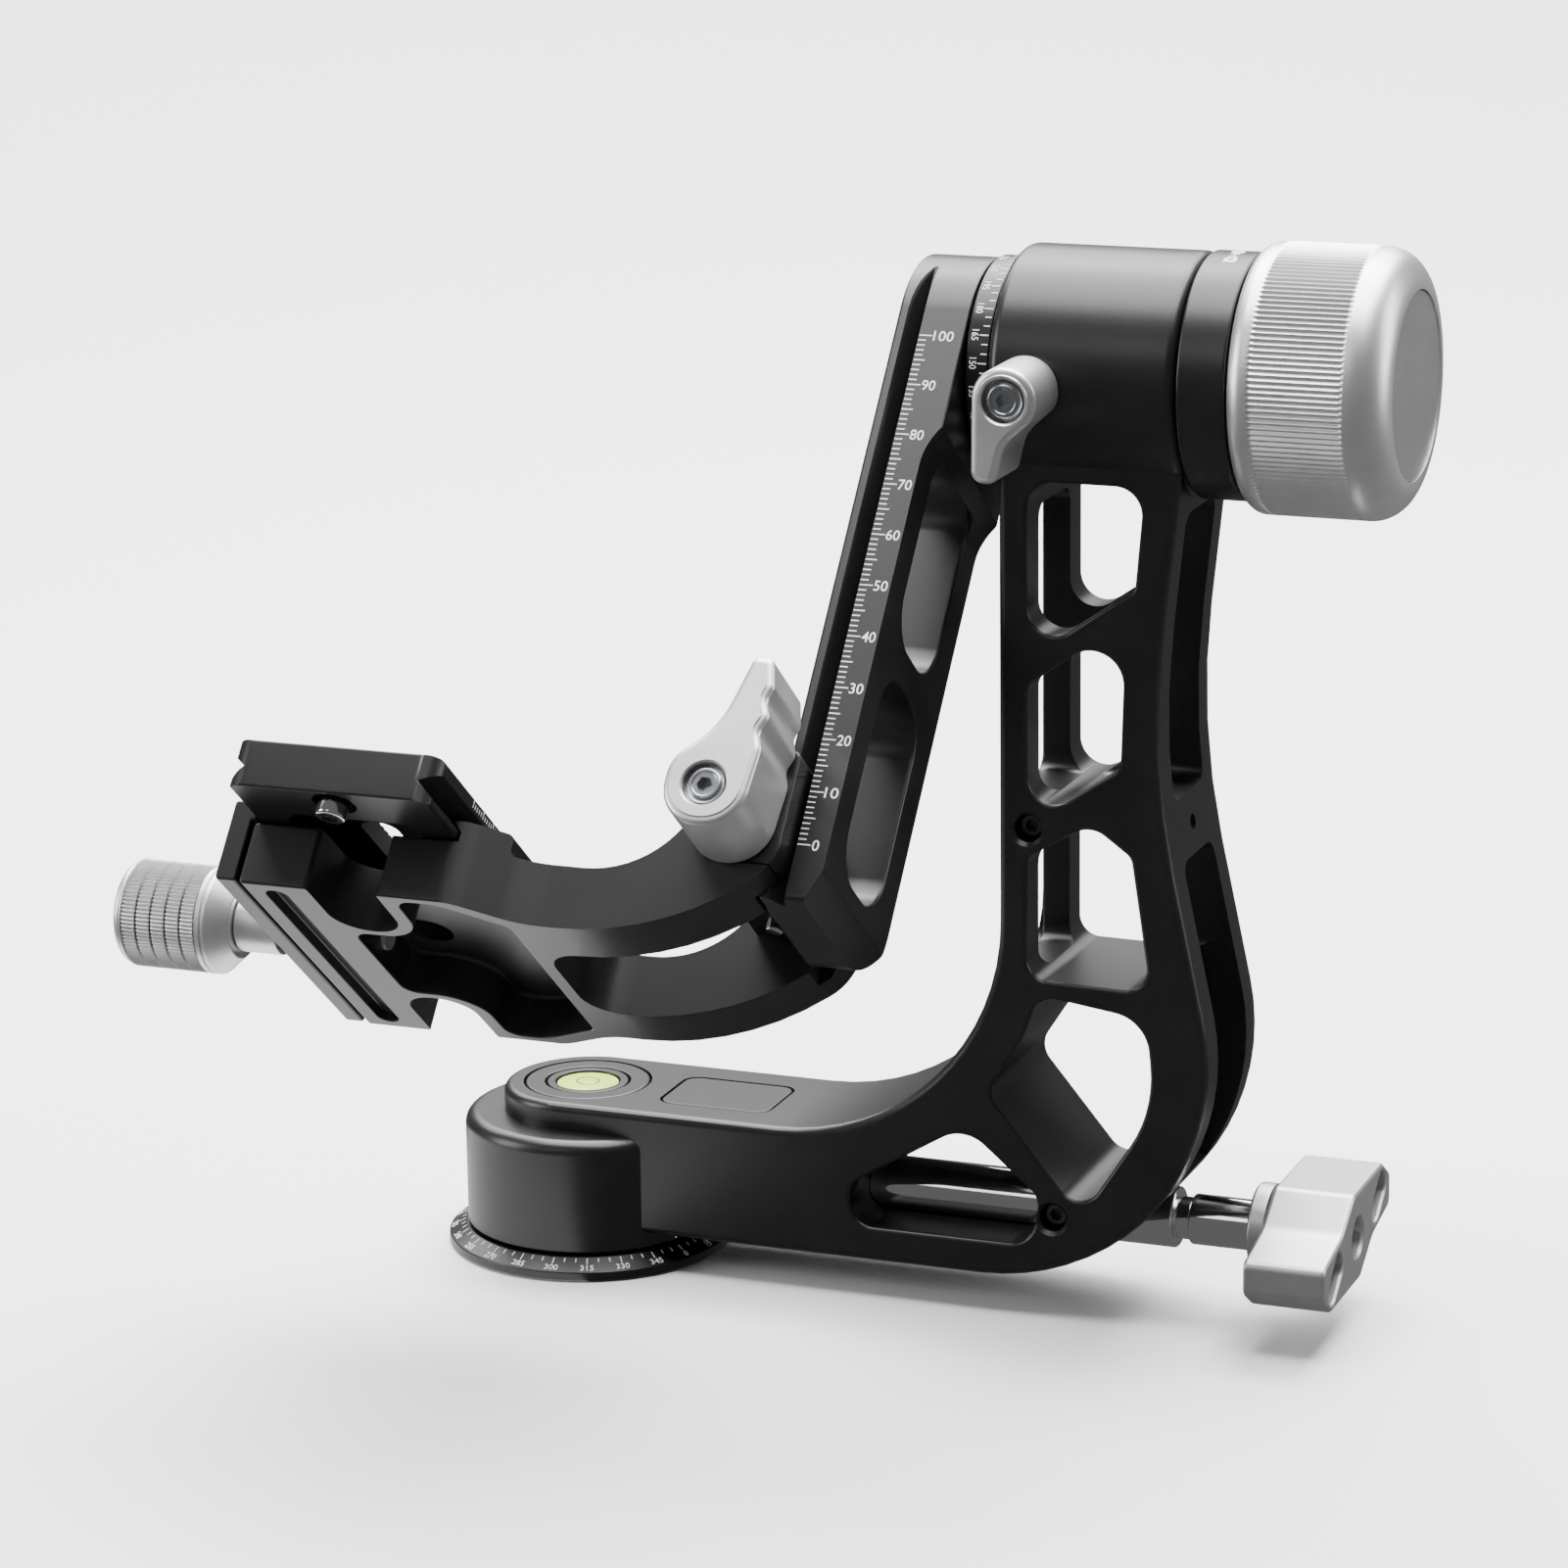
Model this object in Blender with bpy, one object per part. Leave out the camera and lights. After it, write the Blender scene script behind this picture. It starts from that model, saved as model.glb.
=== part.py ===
"""Gimbal head: a panning base, an L-shaped arm, a swing arm and a sliding cradle with a plate clamp.

Metres, +Z up. The origin is on the pan axis at the underside of the base disc, +X points along the
tilt axis to the big knob and -Y is the front. Pieces of the swing arm are modelled upright in the
swing frame: X along the tilt axis, Y across the rail, Z up the rail, with zero on the tilt axis.
"""
import math

import bmesh
import bpy
from mathutils import Matrix, Vector

MM = 0.001

# Driving dimensions
TILT_HEIGHT = 176.3 * MM
HUB_RADIUS = 22.0 * MM
ARM_SPAN = TILT_HEIGHT - HUB_RADIUS
SWING_ANGLE = math.radians(39.2)
GAP = 0.3 * MM
OVERRUN = 1.0 * MM
NEAR = 0.001 * MM
CHORD_ERROR = 0.18 * MM
ARC_STEP = math.radians(22.5)
SMOOTH_ANGLE = math.radians(30.0)
EDGE_STEPS = 2
STEPS_LARGE = 40
STEPS_MEDIUM = 24
STEPS_SMALL = 12
HEX_SIDES = 6

# Base disc and tripod insert
DISC_RADIUS = 27.5 * MM
DISC_RIM = 1.6 * MM
DISC_HEIGHT = 3.6 * MM
DISC_TOP_RADIUS = 24.0 * MM
INSERT_RADIUS = 7.0 * MM
INSERT_BORE = 4.76 * MM
INSERT_HEIGHT = 9.4 * MM
INSERT_FLANGE_RADIUS = 9.5 * MM
INSERT_FLANGE = 1.2 * MM

# Pan spindle and its bearings
SPINDLE_RADIUS = 10.0 * MM
SPINDLE_FLANGE_RADIUS = 14.0 * MM
SPINDLE_FLANGE = 2.0 * MM
SPINDLE_BORE = 5.0 * MM
PAN_BUSH_START = DISC_HEIGHT + SPINDLE_FLANGE + 2 * GAP
PAN_BEARING_START = 20.3 * MM
BEARING_WIDTH = 3.5 * MM
INNER_RING_WALL = 1.9 * MM
BALL_RADIUS = 1.5 * MM
OUTER_RING_WALL = 2.3 * MM
BALL_COUNT = 8
BALL_SEGMENTS = 8
BALL_RINGS = 5
CAGE_WALL = 1.0 * MM
CAGE_WIDTH = 2.0 * MM
LOCK_NUT_RADIUS = 14.0 * MM
LOCK_NUT = 2.2 * MM
SPINDLE_TOP = PAN_BEARING_START + BEARING_WIDTH + GAP + LOCK_NUT
LOCK_NUT_ROOM = 1.0 * MM

# Arm frame
ARM_THICKNESS = 32.3 * MM
ARM_INNER_X = 89.4 * MM
ARM_DEPTH = 30.0 * MM
ARM_BOTTOM = 7.1 * MM
ARM_EDGE = 2.0 * MM
PLATFORM_TOP = 31.35 * MM
ELBOW_INNER_RADIUS = 44.5 * MM
ELBOW_OUTER_RADIUS = 43.9 * MM
ELBOW_CORNER_X = 139.7 * MM
WAIST_X = 117.9 * MM
WAIST_SHARE = 0.7058
WAIST_Z = WAIST_SHARE * ARM_SPAN
WAIST_ROUND_SHARE = 0.9138
WAIST_RADIUS = WAIST_ROUND_SHARE * ARM_SPAN
ARM_TOP_X = 123.6 * MM
ARM_TOP_DROP = 15.3 * MM
ARM_TOP_Z = TILT_HEIGHT - ARM_TOP_DROP
HOUSING_RADIUS = 23.8 * MM
HOUSING_BOTTOM = DISC_HEIGHT + 2 * GAP
HOUSING_TOP = 26.2 * MM
HUB_END_X = 124.0 * MM
HUB_EDGE = 2.0 * MM
HUB_PROUD = 0.2 * MM

# Slots between the arm's two side plates, their ends as shares of the arm's span under the hub
SLOT_HALF_WIDTH = 9.1 * MM
SLOT_RADIUS = 3.0 * MM
UPPER_SLOT_SHARES = (0.6416, 0.9890)
LOWER_SLOT_SHARES = (0.4277, 0.5703)
BACK_POCKET_RADIUS = 37.9 * MM
BACK_POCKET_START = math.radians(-34.0)
BACK_POCKET_END = math.radians(25.0)

# Windows of the arm: along its depth from the inner face, up its span, radius over the depth
WINDOW_SHARES = (
    ((0.183, 1.0249, 0.167), (0.913, 1.0249, 0.167), (0.857, 0.9049, 0.067), (0.183, 0.8147, 0.167)),
    ((0.183, 0.7815, 0.100), (0.800, 0.8661, 0.200), (0.770, 0.6890, 0.083), (0.183, 0.6101, 0.167)),
    ((0.180, 0.5736, 0.100), (0.580, 0.6193, 0.167), (0.837, 0.5861, 0.100), (0.960, 0.4182, 0.133),
     (0.180, 0.4228, 0.133)),
    ((0.250, 0.4045, 0.150), (0.937, 0.3862, 0.250), (0.993, 0.2754, 0.830), (0.527, 0.1337, 0.150),
     (-0.087, 0.2765, 0.150), (0.153, 0.3496, 0.670)),
    ((-0.983, 0.0903, 0.150), (-0.983, 0.1428, 0.133), (-0.230, 0.2308, 0.233), (0.253, 0.1520, 0.133),
     (0.213, 0.0903, 0.183)),
)

# Set screws of the arm, as places along its depth and up its span
SET_SCREW_SHARES = ((0.183, 0.6079), (0.340, 0.1268))
SET_SCREW_HOLE = 2.6 * MM
SET_SCREW_RADIUS = 2.3 * MM
SET_SCREW_DEEP = 8.6 * MM
SET_SCREW_SUNK = 3.0 * MM
SET_SCREW_CHAMFER = 0.7 * MM

# Blank name plate
PLATE_INLAY_X = 29.0 * MM
PLATE_INLAY_LENGTH = 22.0 * MM
PLATE_INLAY_WIDTH = 16.2 * MM
PLATE_INLAY_THICK = 0.7 * MM
PLATE_INLAY_RADIUS = 1.2 * MM

# Cap and level in the platform
CAP_RADIUS = 12.2 * MM
CAP_LEDGE = 1.0 * MM
CAP_BOTTOM = SPINDLE_TOP + CAP_LEDGE + 2 * GAP
CAP_LEDGE_BORE = 10.8 * MM
CAP_FLOOR = 1.0 * MM
LEVEL_RADIUS = 7.9 * MM
LEVEL_FLOOR = 0.6 * MM
VIAL_RADIUS = 5.8 * MM
VIAL_HEIGHT = 1.0 * MM

# Pan lock, along X through the arm
LOCK_HEIGHT = 17.0 * MM
LOCK_BUSH_RADIUS = 6.6 * MM
LOCK_BUSH_START = 20.5 * MM
LOCK_BUSH_LENGTH = 11.5 * MM
LOCK_THREAD_RADIUS = 4.0 * MM
LOCK_SHAFT_RADIUS = 5.75 * MM
LOCK_SHAFT_START = LOCK_BUSH_START + LOCK_BUSH_LENGTH + 4 * GAP
LOCK_OUTER_RADIUS = 4.75 * MM
LOCK_OUTER_LENGTH = 12.0 * MM
LOCK_OUTER_END = 134.2 * MM
LOCK_NECK_RADIUS = 4.0 * MM
LOCK_NECK_LENGTH = 2.7 * MM
LOCK_NECK_END = LOCK_OUTER_END - LOCK_OUTER_LENGTH
LOCK_SHAFT_END = LOCK_NECK_END - LOCK_NECK_LENGTH
LOCK_TAIL_RADIUS = 3.4 * MM
LOCK_TAIL_LENGTH = 12.8 * MM
LOCK_TAIL_END = LOCK_OUTER_END + LOCK_TAIL_LENGTH
LOCK_RING_RADIUS = 7.0 * MM
LOCK_RING_LENGTH = 3.6 * MM
SHOE_START = SPINDLE_RADIUS + INNER_RING_WALL + 2 * GAP
SHOE_NOSE_RADIUS = 2.9 * MM
SHOE_BODY_RADIUS = 4.0 * MM
SHOE_NOSE_LENGTH = 6.3 * MM
SHOE_BODY_LENGTH = 5.6 * MM
SHOE_TRAVEL = 1.0 * MM
LOCK_THREAD_START = SHOE_START + SHOE_NOSE_LENGTH + SHOE_BODY_LENGTH + SHOE_TRAVEL + GAP

# Wing knob of the pan lock, its outline and holes as shares of its half length
WING_HALF = 24.5 * MM
WING_START = LOCK_OUTER_END + LOCK_RING_LENGTH + 2 * GAP
WING_THICK = 15.2 * MM
WING_END = WING_START + WING_THICK
WING_EDGE = 1.2 * MM
WING_SHARES = ((0.690, 0.410, 0.14), (-0.250, 0.420, 0.20), (-0.600, 0.150, 0.30), (-0.930, 0.000, 0.14),
               (-1.000, -0.230, 0.14), (-0.690, -0.410, 0.14), (0.250, -0.420, 0.20), (0.600, -0.150, 0.30),
               (0.930, 0.000, 0.14), (1.000, 0.230, 0.14))
WING_HOLE_PLACE_SHARES = (0.555, 0.130)
WING_HOLE_RADIUS = 2.6 * MM
WING_HOLE_LENGTH = 11.0 * MM
WING_HOLE_TURN = math.radians(35.0)
WING_HOLE_DEPTH = 9.0 * MM
WING_CENTRE_RADIUS = 3.75 * MM

# Tilt hub: bearings, drag stack and collar
TILT_SHAFT_RADIUS = 8.0 * MM
TILT_NECK_RADIUS = 10.0 * MM
TILT_NECK_ROOM = 0.5 * MM
TILT_FLANGE_RADIUS = 15.0 * MM
TILT_FLANGE = 4.0 * MM
TILT_SPIGOT_START = 76.0 * MM
TILT_SHAFT_END = 131.4 * MM
TILT_THREAD_RADIUS = 5.0 * MM
TILT_THREAD_END = 150.2 * MM
TILT_BEARING_START = 102.9 * MM
TILT_NECK_END = TILT_BEARING_START - GAP
TILT_BUSH_START = 117.0 * MM
TILT_RETAINER = 2.9 * MM
FRICTION_DISC_BORE = 10.6 * MM
FRICTION_DISC = 2.0 * MM
PRESSURE_PLATE = 2.0 * MM
PRESSURE_PLATE_RADIUS = 15.7 * MM
SPRING_WASHER_RADIUS = 13.0 * MM
SPRING_WASHER = 1.2 * MM
SPRING_WASHER_RISE = 0.8 * MM
COLLAR_RADIUS = 22.2 * MM
COLLAR_START = HUB_END_X + GAP
COLLAR_END = 133.2 * MM
COLLAR_EDGE = 0.6 * MM

# Big knurled tilt knob
KNOB_RADIUS = 24.3 * MM
KNOB_START = COLLAR_END + GAP
KNOB_END = 162.0 * MM
KNOB_INNER_EDGE = 3.0 * MM
KNOB_OUTER_EDGE = 7.0 * MM
KNOB_CAP_RADIUS = 16.8 * MM
KNOB_CAP = 2.0 * MM
KNOB_BOSS_RADIUS = 12.5 * MM
KNOB_INSERT_RADIUS = 8.2 * MM
KNOB_INSERT_END = 148.0 * MM
KNOB_HOLLOW_RADIUS = 13.0 * MM
END_SCREW_HEAD_RADIUS = 7.0 * MM
END_SCREW_HEAD = 3.0 * MM
END_SCREW_RADIUS = 2.0 * MM
END_SCREW_LENGTH = 8.0 * MM

# Small tilt lock lever at the front of the hub
TILT_LOCK_X = 97.2 * MM
TILT_LEVER_FRONT = 36.0 * MM
TILT_LEVER_BACK = HUB_RADIUS + 2 * GAP
TILT_LEVER_HUB = 5.9 * MM
TILT_LEVER_TIP = 2.6 * MM
TILT_LEVER_LENGTH = 12.3 * MM
TILT_LEVER_SHIFT = 3.5 * MM
TILT_LEVER_EDGE = 0.8 * MM
TILT_STUD_RADIUS = 3.0 * MM
TILT_BUSH_RADIUS = 5.2 * MM
TILT_BUSH_OUTER = 21.2 * MM
TILT_BUSH_INNER = 11.0 * MM
TILT_PAD_OUTER = 13.0 * MM
TILT_STUD_INNER = 13.6 * MM
LEVER_SCREW_HEAD_RADIUS = 3.4 * MM
LEVER_SCREW_HEAD = 2.4 * MM
LEVER_SCREW_HEX = 1.4 * MM
LEVER_SCREW_HEX_DEEP = 1.5 * MM

# Swing arm: dovetail rail, boss and degree ring, in the swing frame
RAIL_BACK_X = 70.6 * MM
RAIL_LIP = 1.8 * MM
RAIL_LIP_HALF = 19.0 * MM
RAIL_BODY_HALF = 16.0 * MM
RAIL_SLOPE = 2.0 * MM
RAIL_FRONT_X = 81.3 * MM
RAIL_BOTTOM = -116.0 * MM
RAIL_CHAMFER = 5.0 * MM
RAIL_CORNER = 4.0 * MM
RAIL_EDGE = 0.6 * MM
BOSS_FRONT_X = 84.3 * MM
BOSS_RADIUS = 19.1 * MM
BOSS_STEP = -21.0 * MM
BOSS_STEP_END = -29.0 * MM
RAIL_WINDOW_HALF = 11.0 * MM
RAIL_WINDOW_RADIUS = 8.0 * MM
RAIL_WINDOW_UPPER = (-60.7 * MM, -21.5 * MM)
RAIL_WINDOW_LOWER = (-106.2 * MM, -67.2 * MM)
RING_START = BOSS_FRONT_X + GAP
RING_END = ARM_INNER_X - 2 * GAP
RING_RADIUS = 19.5 * MM
BOSS_SCREW_RADIUS = 3.0 * MM
BOSS_SCREW_END = 92.0 * MM
BOSS_SCREW_HEAD_RADIUS = 6.0 * MM
BOSS_SCREW_HEAD = 2.2 * MM
BOSS_SCREW_SUNK = 0.3 * MM

# Cradle bracket, in the swing frame
CLAMP_HALF_LENGTH = 32.0 * MM
CLAMP_LEFT_X = -19.5 * MM
CRADLE_BOTTOM = -127.7 * MM
PLATE_BOTTOM = -115.8 * MM
CRADLE_SEAT = PLATE_BOTTOM - GAP
CRADLE_HALF_WIDTH = 25.0 * MM
CRADLE_CORNER_X = 56.6 * MM
CRADLE_CORNER_RADIUS = 51.0 * MM
CRADLE_RIGHT_X = 74.8 * MM
CRADLE_RIGHT_Z = -112.6 * MM
CRADLE_RIGHT_RADIUS = 10.5 * MM
CRADLE_TOP = -90.9 * MM
CRADLE_INNER_X = 59.3 * MM
CRADLE_INNER_RADIUS = 18.7 * MM
CRADLE_EDGE_RADIUS = 1.2 * MM
FIXED_JAW_RIGHT = 27.5 * MM
NOTCH_LEFT = -7.6 * MM
NOTCH_RIGHT = 7.0 * MM
NOTCH_DEEP = 16.6 * MM
NOTCH_LEFT_RADIUS = 6.0 * MM
NOTCH_RIGHT_RADIUS = 3.5 * MM
SHOULDER_START = 17.5 * MM
SHOULDER_END = 29.5 * MM
SHOULDER_RADIUS = 9.0 * MM
WALL = 2.3 * MM
POCKET_TOP = -119.6 * MM
POCKET_RIGHT = 28.8 * MM
GROOVE_LEFT = -15.8 * MM
GROOVE_WIDTH = 4.2 * MM
GROOVE_HALF_LENGTH = 29.4 * MM
GROOVE_DEEP = 2.0 * MM
CRADLE_WINDOW_LEFT = 31.2 * MM
CRADLE_WINDOW_RIGHT = 57.0 * MM
CRADLE_WINDOW_HALF = 11.0 * MM
CRADLE_WINDOW_RADIUS = 3.0 * MM

# Rail jaw, draw bolt and clamp lever
RAIL_JAW_LEFT = 62.5 * MM
RAIL_JAW_DEPTH = 9.5 * MM
RAIL_JAW_BEHIND = CRADLE_HALF_WIDTH - RAIL_JAW_DEPTH
RAIL_JAW_BOTTOM = -112.2 * MM
RAIL_JAW_TRAVEL = 1.0 * MM
RAIL_LEVER_X = 65.7 * MM
RAIL_LEVER_Z = -105.6 * MM
RAIL_LEVER_FRONT = 42.0 * MM
RAIL_LEVER_HUB = 7.4 * MM
RAIL_LEVER_TIP = 2.4 * MM
RAIL_LEVER_LENGTH = 21.9 * MM
RAIL_LEVER_SHIFT = 4.9 * MM
RAIL_LEVER_EDGE = 1.0 * MM
DRAW_BOLT_RADIUS = 3.0 * MM
DRAW_BOLT_HEAD_RADIUS = 5.5 * MM
DRAW_BOLT_HEAD = 3.0 * MM
DRAW_BOLT_SUNK = 0.5 * MM

# Plate clamp: jaw, pins, knob
DOVETAIL_HALF = 19.0 * MM
DOVETAIL_FOOT = 1.4 * MM
DOVETAIL_DEEP = 2.4 * MM
JAW_CLEAR = 0.45 * MM
JAW_TOP = -112.3 * MM
PLATE_JAW_GAP = 0.8 * MM
PLATE_JAW_THICK = 3.9 * MM
JAW_PIN_PLACE = 23.0 * MM
JAW_PIN_RADIUS = 1.5 * MM
JAW_PIN_END = -9.5 * MM
CLAMP_AXIS_Z = -122.5 * MM
CLAMP_STUD_RADIUS = 2.5 * MM
CLAMP_STUD_END = -4.0 * MM
CLAMP_STEM_RADIUS = 5.3 * MM
CLAMP_KNOB_RADIUS = 10.5 * MM
CLAMP_KNOB_LEFT = -55.0 * MM
CLAMP_KNOB_RIGHT = -32.9 * MM
CLAMP_KNOB_EDGE = 1.2 * MM
CLAMP_KNOB_CONE = 3.5 * MM
CLAMP_CONE_RADIUS = 6.6 * MM

# Release plate, camera screw and stop screws
PLATE_HALF_LENGTH = 47.2 * MM
PLATE_TOP = -107.0 * MM
PLATE_CORNER = 4.0 * MM
PLATE_FLANGE_HALF = 19.6 * MM
PLATE_RECESS_HALF = 12.5 * MM
PLATE_RECESS_HALF_LENGTH = 36.0 * MM
PLATE_RECESS_DEEP = 4.2 * MM
PLATE_SLOT_HALF = 3.5 * MM
PLATE_SLOT_HALF_LENGTH = 26.0 * MM
PAD_HALF_WIDTH = 16.0 * MM
PAD_HALF_LENGTH = 36.0 * MM
PAD_SLOT_MARGIN = 1.5 * MM
PAD_THICK = 1.2 * MM
PAD_PROUD = 0.4 * MM
STOP_SCREW_PLACE = 42.6 * MM
STOP_SCREW_HEAD_RADIUS = 2.75 * MM
STOP_SCREW_HEAD = 4.0 * MM
STOP_SCREW_PROUD = 2.8 * MM
STOP_SCREW_RADIUS = 1.5 * MM
STOP_SCREW_LENGTH = 4.0 * MM
STOP_SCREW_NOTCH = 4.0 * MM
CAMERA_SCREW_RADIUS = 3.1 * MM
CAMERA_SCREW_HEAD_RADIUS = 6.0 * MM
CAMERA_SCREW_HEAD = 3.2 * MM
CAMERA_SCREW_TOP = -101.6 * MM
CAMERA_SCREW_COIN = 0.8 * MM

# Finishes: colour, metallic value, roughness
FINISHES = {
    "black": ((0.035, 0.036, 0.038), 0.85, 0.42),
    "silver": ((0.78, 0.79, 0.80), 0.95, 0.32),
    "chrome": ((0.80, 0.80, 0.82), 1.00, 0.08),
    "steel": ((0.55, 0.56, 0.58), 1.00, 0.25),
    "brass": ((0.70, 0.52, 0.24), 1.00, 0.30),
    "lining": ((0.22, 0.16, 0.11), 0.00, 0.80),
    "level": ((0.78, 0.86, 0.30), 0.00, 0.10),
    "rubber": ((0.02, 0.02, 0.02), 0.00, 0.85),
}

FULL_TURN = 2 * math.pi
QUARTER_TURN = math.pi / 2
AXIS_LETTERS = {"X": "YZX", "Y": "XZY", "Z": "XYZ"}


def clear_scene():
    for obj in list(bpy.data.objects):
        bpy.data.objects.remove(obj, do_unlink=True)


def arc_steps(sweep, radius):
    """Number of straight pieces that stand for an arc."""
    if radius <= CHORD_ERROR:
        return 1
    finest = min(ARC_STEP, 2 * math.acos(1 - CHORD_ERROR / radius))
    return max(1, math.ceil(abs(sweep) / finest))


def rounded(corners):
    """Outline through corners (u, v, radius), each one rounded by its radius."""
    points = []
    for index, (u, v, radius) in enumerate(corners):
        here = Vector((u, v))
        before = (Vector(corners[index - 1][:2]) - here).normalized()
        after = (Vector(corners[(index + 1) % len(corners)][:2]) - here).normalized()
        half = before.angle(after) / 2
        if radius <= 0:
            points.append(here)
            continue
        centre = here + (before + after).normalized() * radius / math.sin(half)
        start = here + before * radius / math.tan(half) - centre
        end = here + after * radius / math.tan(half) - centre
        first = math.atan2(start.y, start.x)
        sweep = math.remainder(math.atan2(end.y, end.x) - first, FULL_TURN)
        steps = arc_steps(sweep, radius)
        points += [centre + radius * polar(first + sweep * step / steps) for step in range(steps + 1)]
    return [point for index, point in enumerate(points) if (point - points[index - 1]).length > NEAR]


def polar(angle):
    return Vector((math.cos(angle), math.sin(angle)))


def arc(centre, radius, first, last):
    """Points on an arc from the first angle to the last."""
    steps = arc_steps(last - first, radius)
    middle = Vector(centre)
    return [middle + radius * polar(first + (last - first) * step / steps) for step in range(steps + 1)]


def box_outline(low_u, low_v, high_u, high_v, radius=0.0):
    return rounded([(low_u, low_v, radius), (high_u, low_v, radius), (high_u, high_v, radius),
                    (low_u, high_v, radius)])


def anticlockwise(outline):
    area = sum(outline[i - 1].x * p.y - outline[i - 1].y * p.x for i, p in enumerate(outline))
    return list(outline) if area > 0 else list(reversed(outline))


def inset(outline, distance):
    """The outline moved inwards by a distance."""
    moved = []
    for index, point in enumerate(outline):
        before = (point - outline[index - 1]).normalized()
        after = (outline[(index + 1) % len(outline)] - point).normalized()
        normal = Vector((-before.y - after.y, before.x + after.x)).normalized()
        along = Vector((-before.y, before.x))
        moved.append(point + normal * distance / normal.dot(along))
    return moved


def axis_places(axis):
    """Which coordinates hold an outline's u and v, and its depth, for a shape along an axis."""
    return ["XYZ".index(letter) for letter in AXIS_LETTERS[axis]]


def finish_mesh(bm):
    bmesh.ops.recalc_face_normals(bm, faces=bm.faces)
    return bm


def prism(axis, outline, low, high, edge=0.0):
    """Outline carried along an axis from low to high, with rounded end edges."""
    bm = bmesh.new()
    u_axis, v_axis, depth_axis = axis_places(axis)
    outline = anticlockwise(outline)
    turns = [QUARTER_TURN * step / EDGE_STEPS for step in range(EDGE_STEPS + 1)] if edge else [QUARTER_TURN]
    levels = [(low + edge * (1 - math.cos(t)), edge * (1 - math.sin(t))) for t in turns]
    levels += [(high - depth + low, shrink) for depth, shrink in reversed(levels)]
    loops = []
    for depth, shrink in levels:
        ring = inset(outline, shrink) if shrink > 0 else outline
        loop = []
        for point in ring:
            place = [0.0, 0.0, 0.0]
            place[u_axis] = point.x
            place[v_axis] = point.y
            place[depth_axis] = depth
            loop.append(bm.verts.new(place))
        loops.append(loop)
    for lower, upper in zip(loops, loops[1:]):
        for index in range(len(outline)):
            bm.faces.new((lower[index - 1], lower[index], upper[index], upper[index - 1]))
    bm.faces.new(loops[0])
    bm.faces.new(loops[-1])
    return finish_mesh(bm)


def turned(axis, profile, steps, ring=False, centre=(0.0, 0.0)):
    """Profile of (along, radius) points turned about an axis. A ring's profile closes on itself."""
    bm = bmesh.new()
    u_axis, v_axis, depth_axis = axis_places(axis)
    loops = []
    for along, radius in profile:
        count = steps if radius > 0 else 1
        loop = []
        for index in range(count):
            angle = FULL_TURN * index / steps
            place = [0.0, 0.0, 0.0]
            place[u_axis] = centre[0] + radius * math.cos(angle)
            place[v_axis] = centre[1] + radius * math.sin(angle)
            place[depth_axis] = along
            loop.append(bm.verts.new(place))
        loops.append(loop)
    pairs = list(zip(loops, loops[1:]))
    if ring:
        pairs.append((loops[-1], loops[0]))
    for lower, upper in pairs:
        for index in range(steps):
            corners = [lower[(index - 1) % len(lower)], lower[index % len(lower)],
                       upper[index % len(upper)], upper[(index - 1) % len(upper)]]
            kept = [vert for place, vert in enumerate(corners) if vert not in corners[:place]]
            if len(kept) > 2:
                bm.faces.new(kept)
    if not ring:
        for loop in (loops[0], loops[-1]):
            if len(loop) > 1:
                bm.faces.new(loop)
    return finish_mesh(bm)


def tube(axis, inner, outer, low, high, steps, centre=(0.0, 0.0)):
    profile = [(low, inner), (low, outer), (high, outer), (high, inner)]
    return turned(axis, profile, steps, ring=True, centre=centre)


def rod(axis, radius, low, high, steps, centre=(0.0, 0.0)):
    return turned(axis, [(low, radius), (high, radius)], steps, centre=centre)


def round_edge(along, radius, edge, towards):
    """Quarter-round points of a turned profile at an end face; towards is -1 at the start, 1 at the end."""
    turns = [QUARTER_TURN * step / EDGE_STEPS for step in range(EDGE_STEPS + 1)]
    points = [(along - towards * edge * (1 - math.sin(t)), radius - edge * (1 - math.cos(t))) for t in turns]
    return points if towards > 0 else list(reversed(points))


def new_object(name, bm):
    mesh = bpy.data.meshes.new(name)
    bm.to_mesh(mesh)
    bm.free()
    obj = bpy.data.objects.new(name, mesh)
    bpy.context.scene.collection.objects.link(obj)
    return obj


def combine(obj, operation, *shapes):
    """Cut, join or intersect an object with closed shapes, one after the other."""
    for shape in shapes:
        tool = new_object("tool", shape)
        tool.hide_render = True
        tool.display_type = "WIRE"
        step = obj.modifiers.new("combine", "BOOLEAN")
        step.operation = operation
        step.solver = "EXACT"
        step.object = tool
        depsgraph = bpy.context.evaluated_depsgraph_get()
        old = obj.data
        obj.data = bpy.data.meshes.new_from_object(obj.evaluated_get(depsgraph))
        obj.modifiers.clear()
        bpy.data.meshes.remove(old)
        tool_mesh = tool.data
        bpy.data.objects.remove(tool, do_unlink=True)
        bpy.data.meshes.remove(tool_mesh)
    return obj


def taken(obj):
    """The shape of a helper object, which is removed."""
    shape = bmesh.new()
    shape.from_mesh(obj.data)
    mesh = obj.data
    bpy.data.objects.remove(obj, do_unlink=True)
    bpy.data.meshes.remove(mesh)
    return shape


def cut(obj, *shapes):
    return combine(obj, "DIFFERENCE", *shapes)


def join(obj, *shapes):
    return combine(obj, "UNION", *shapes)


def material(finish):
    colour, metallic, roughness = FINISHES[finish]
    made = bpy.data.materials.new(finish)
    made.use_nodes = True
    shader = made.node_tree.nodes["Principled BSDF"]
    shader.inputs["Base Color"].default_value = (*colour, 1.0)
    shader.inputs["Metallic"].default_value = metallic
    shader.inputs["Roughness"].default_value = roughness
    return made


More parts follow.
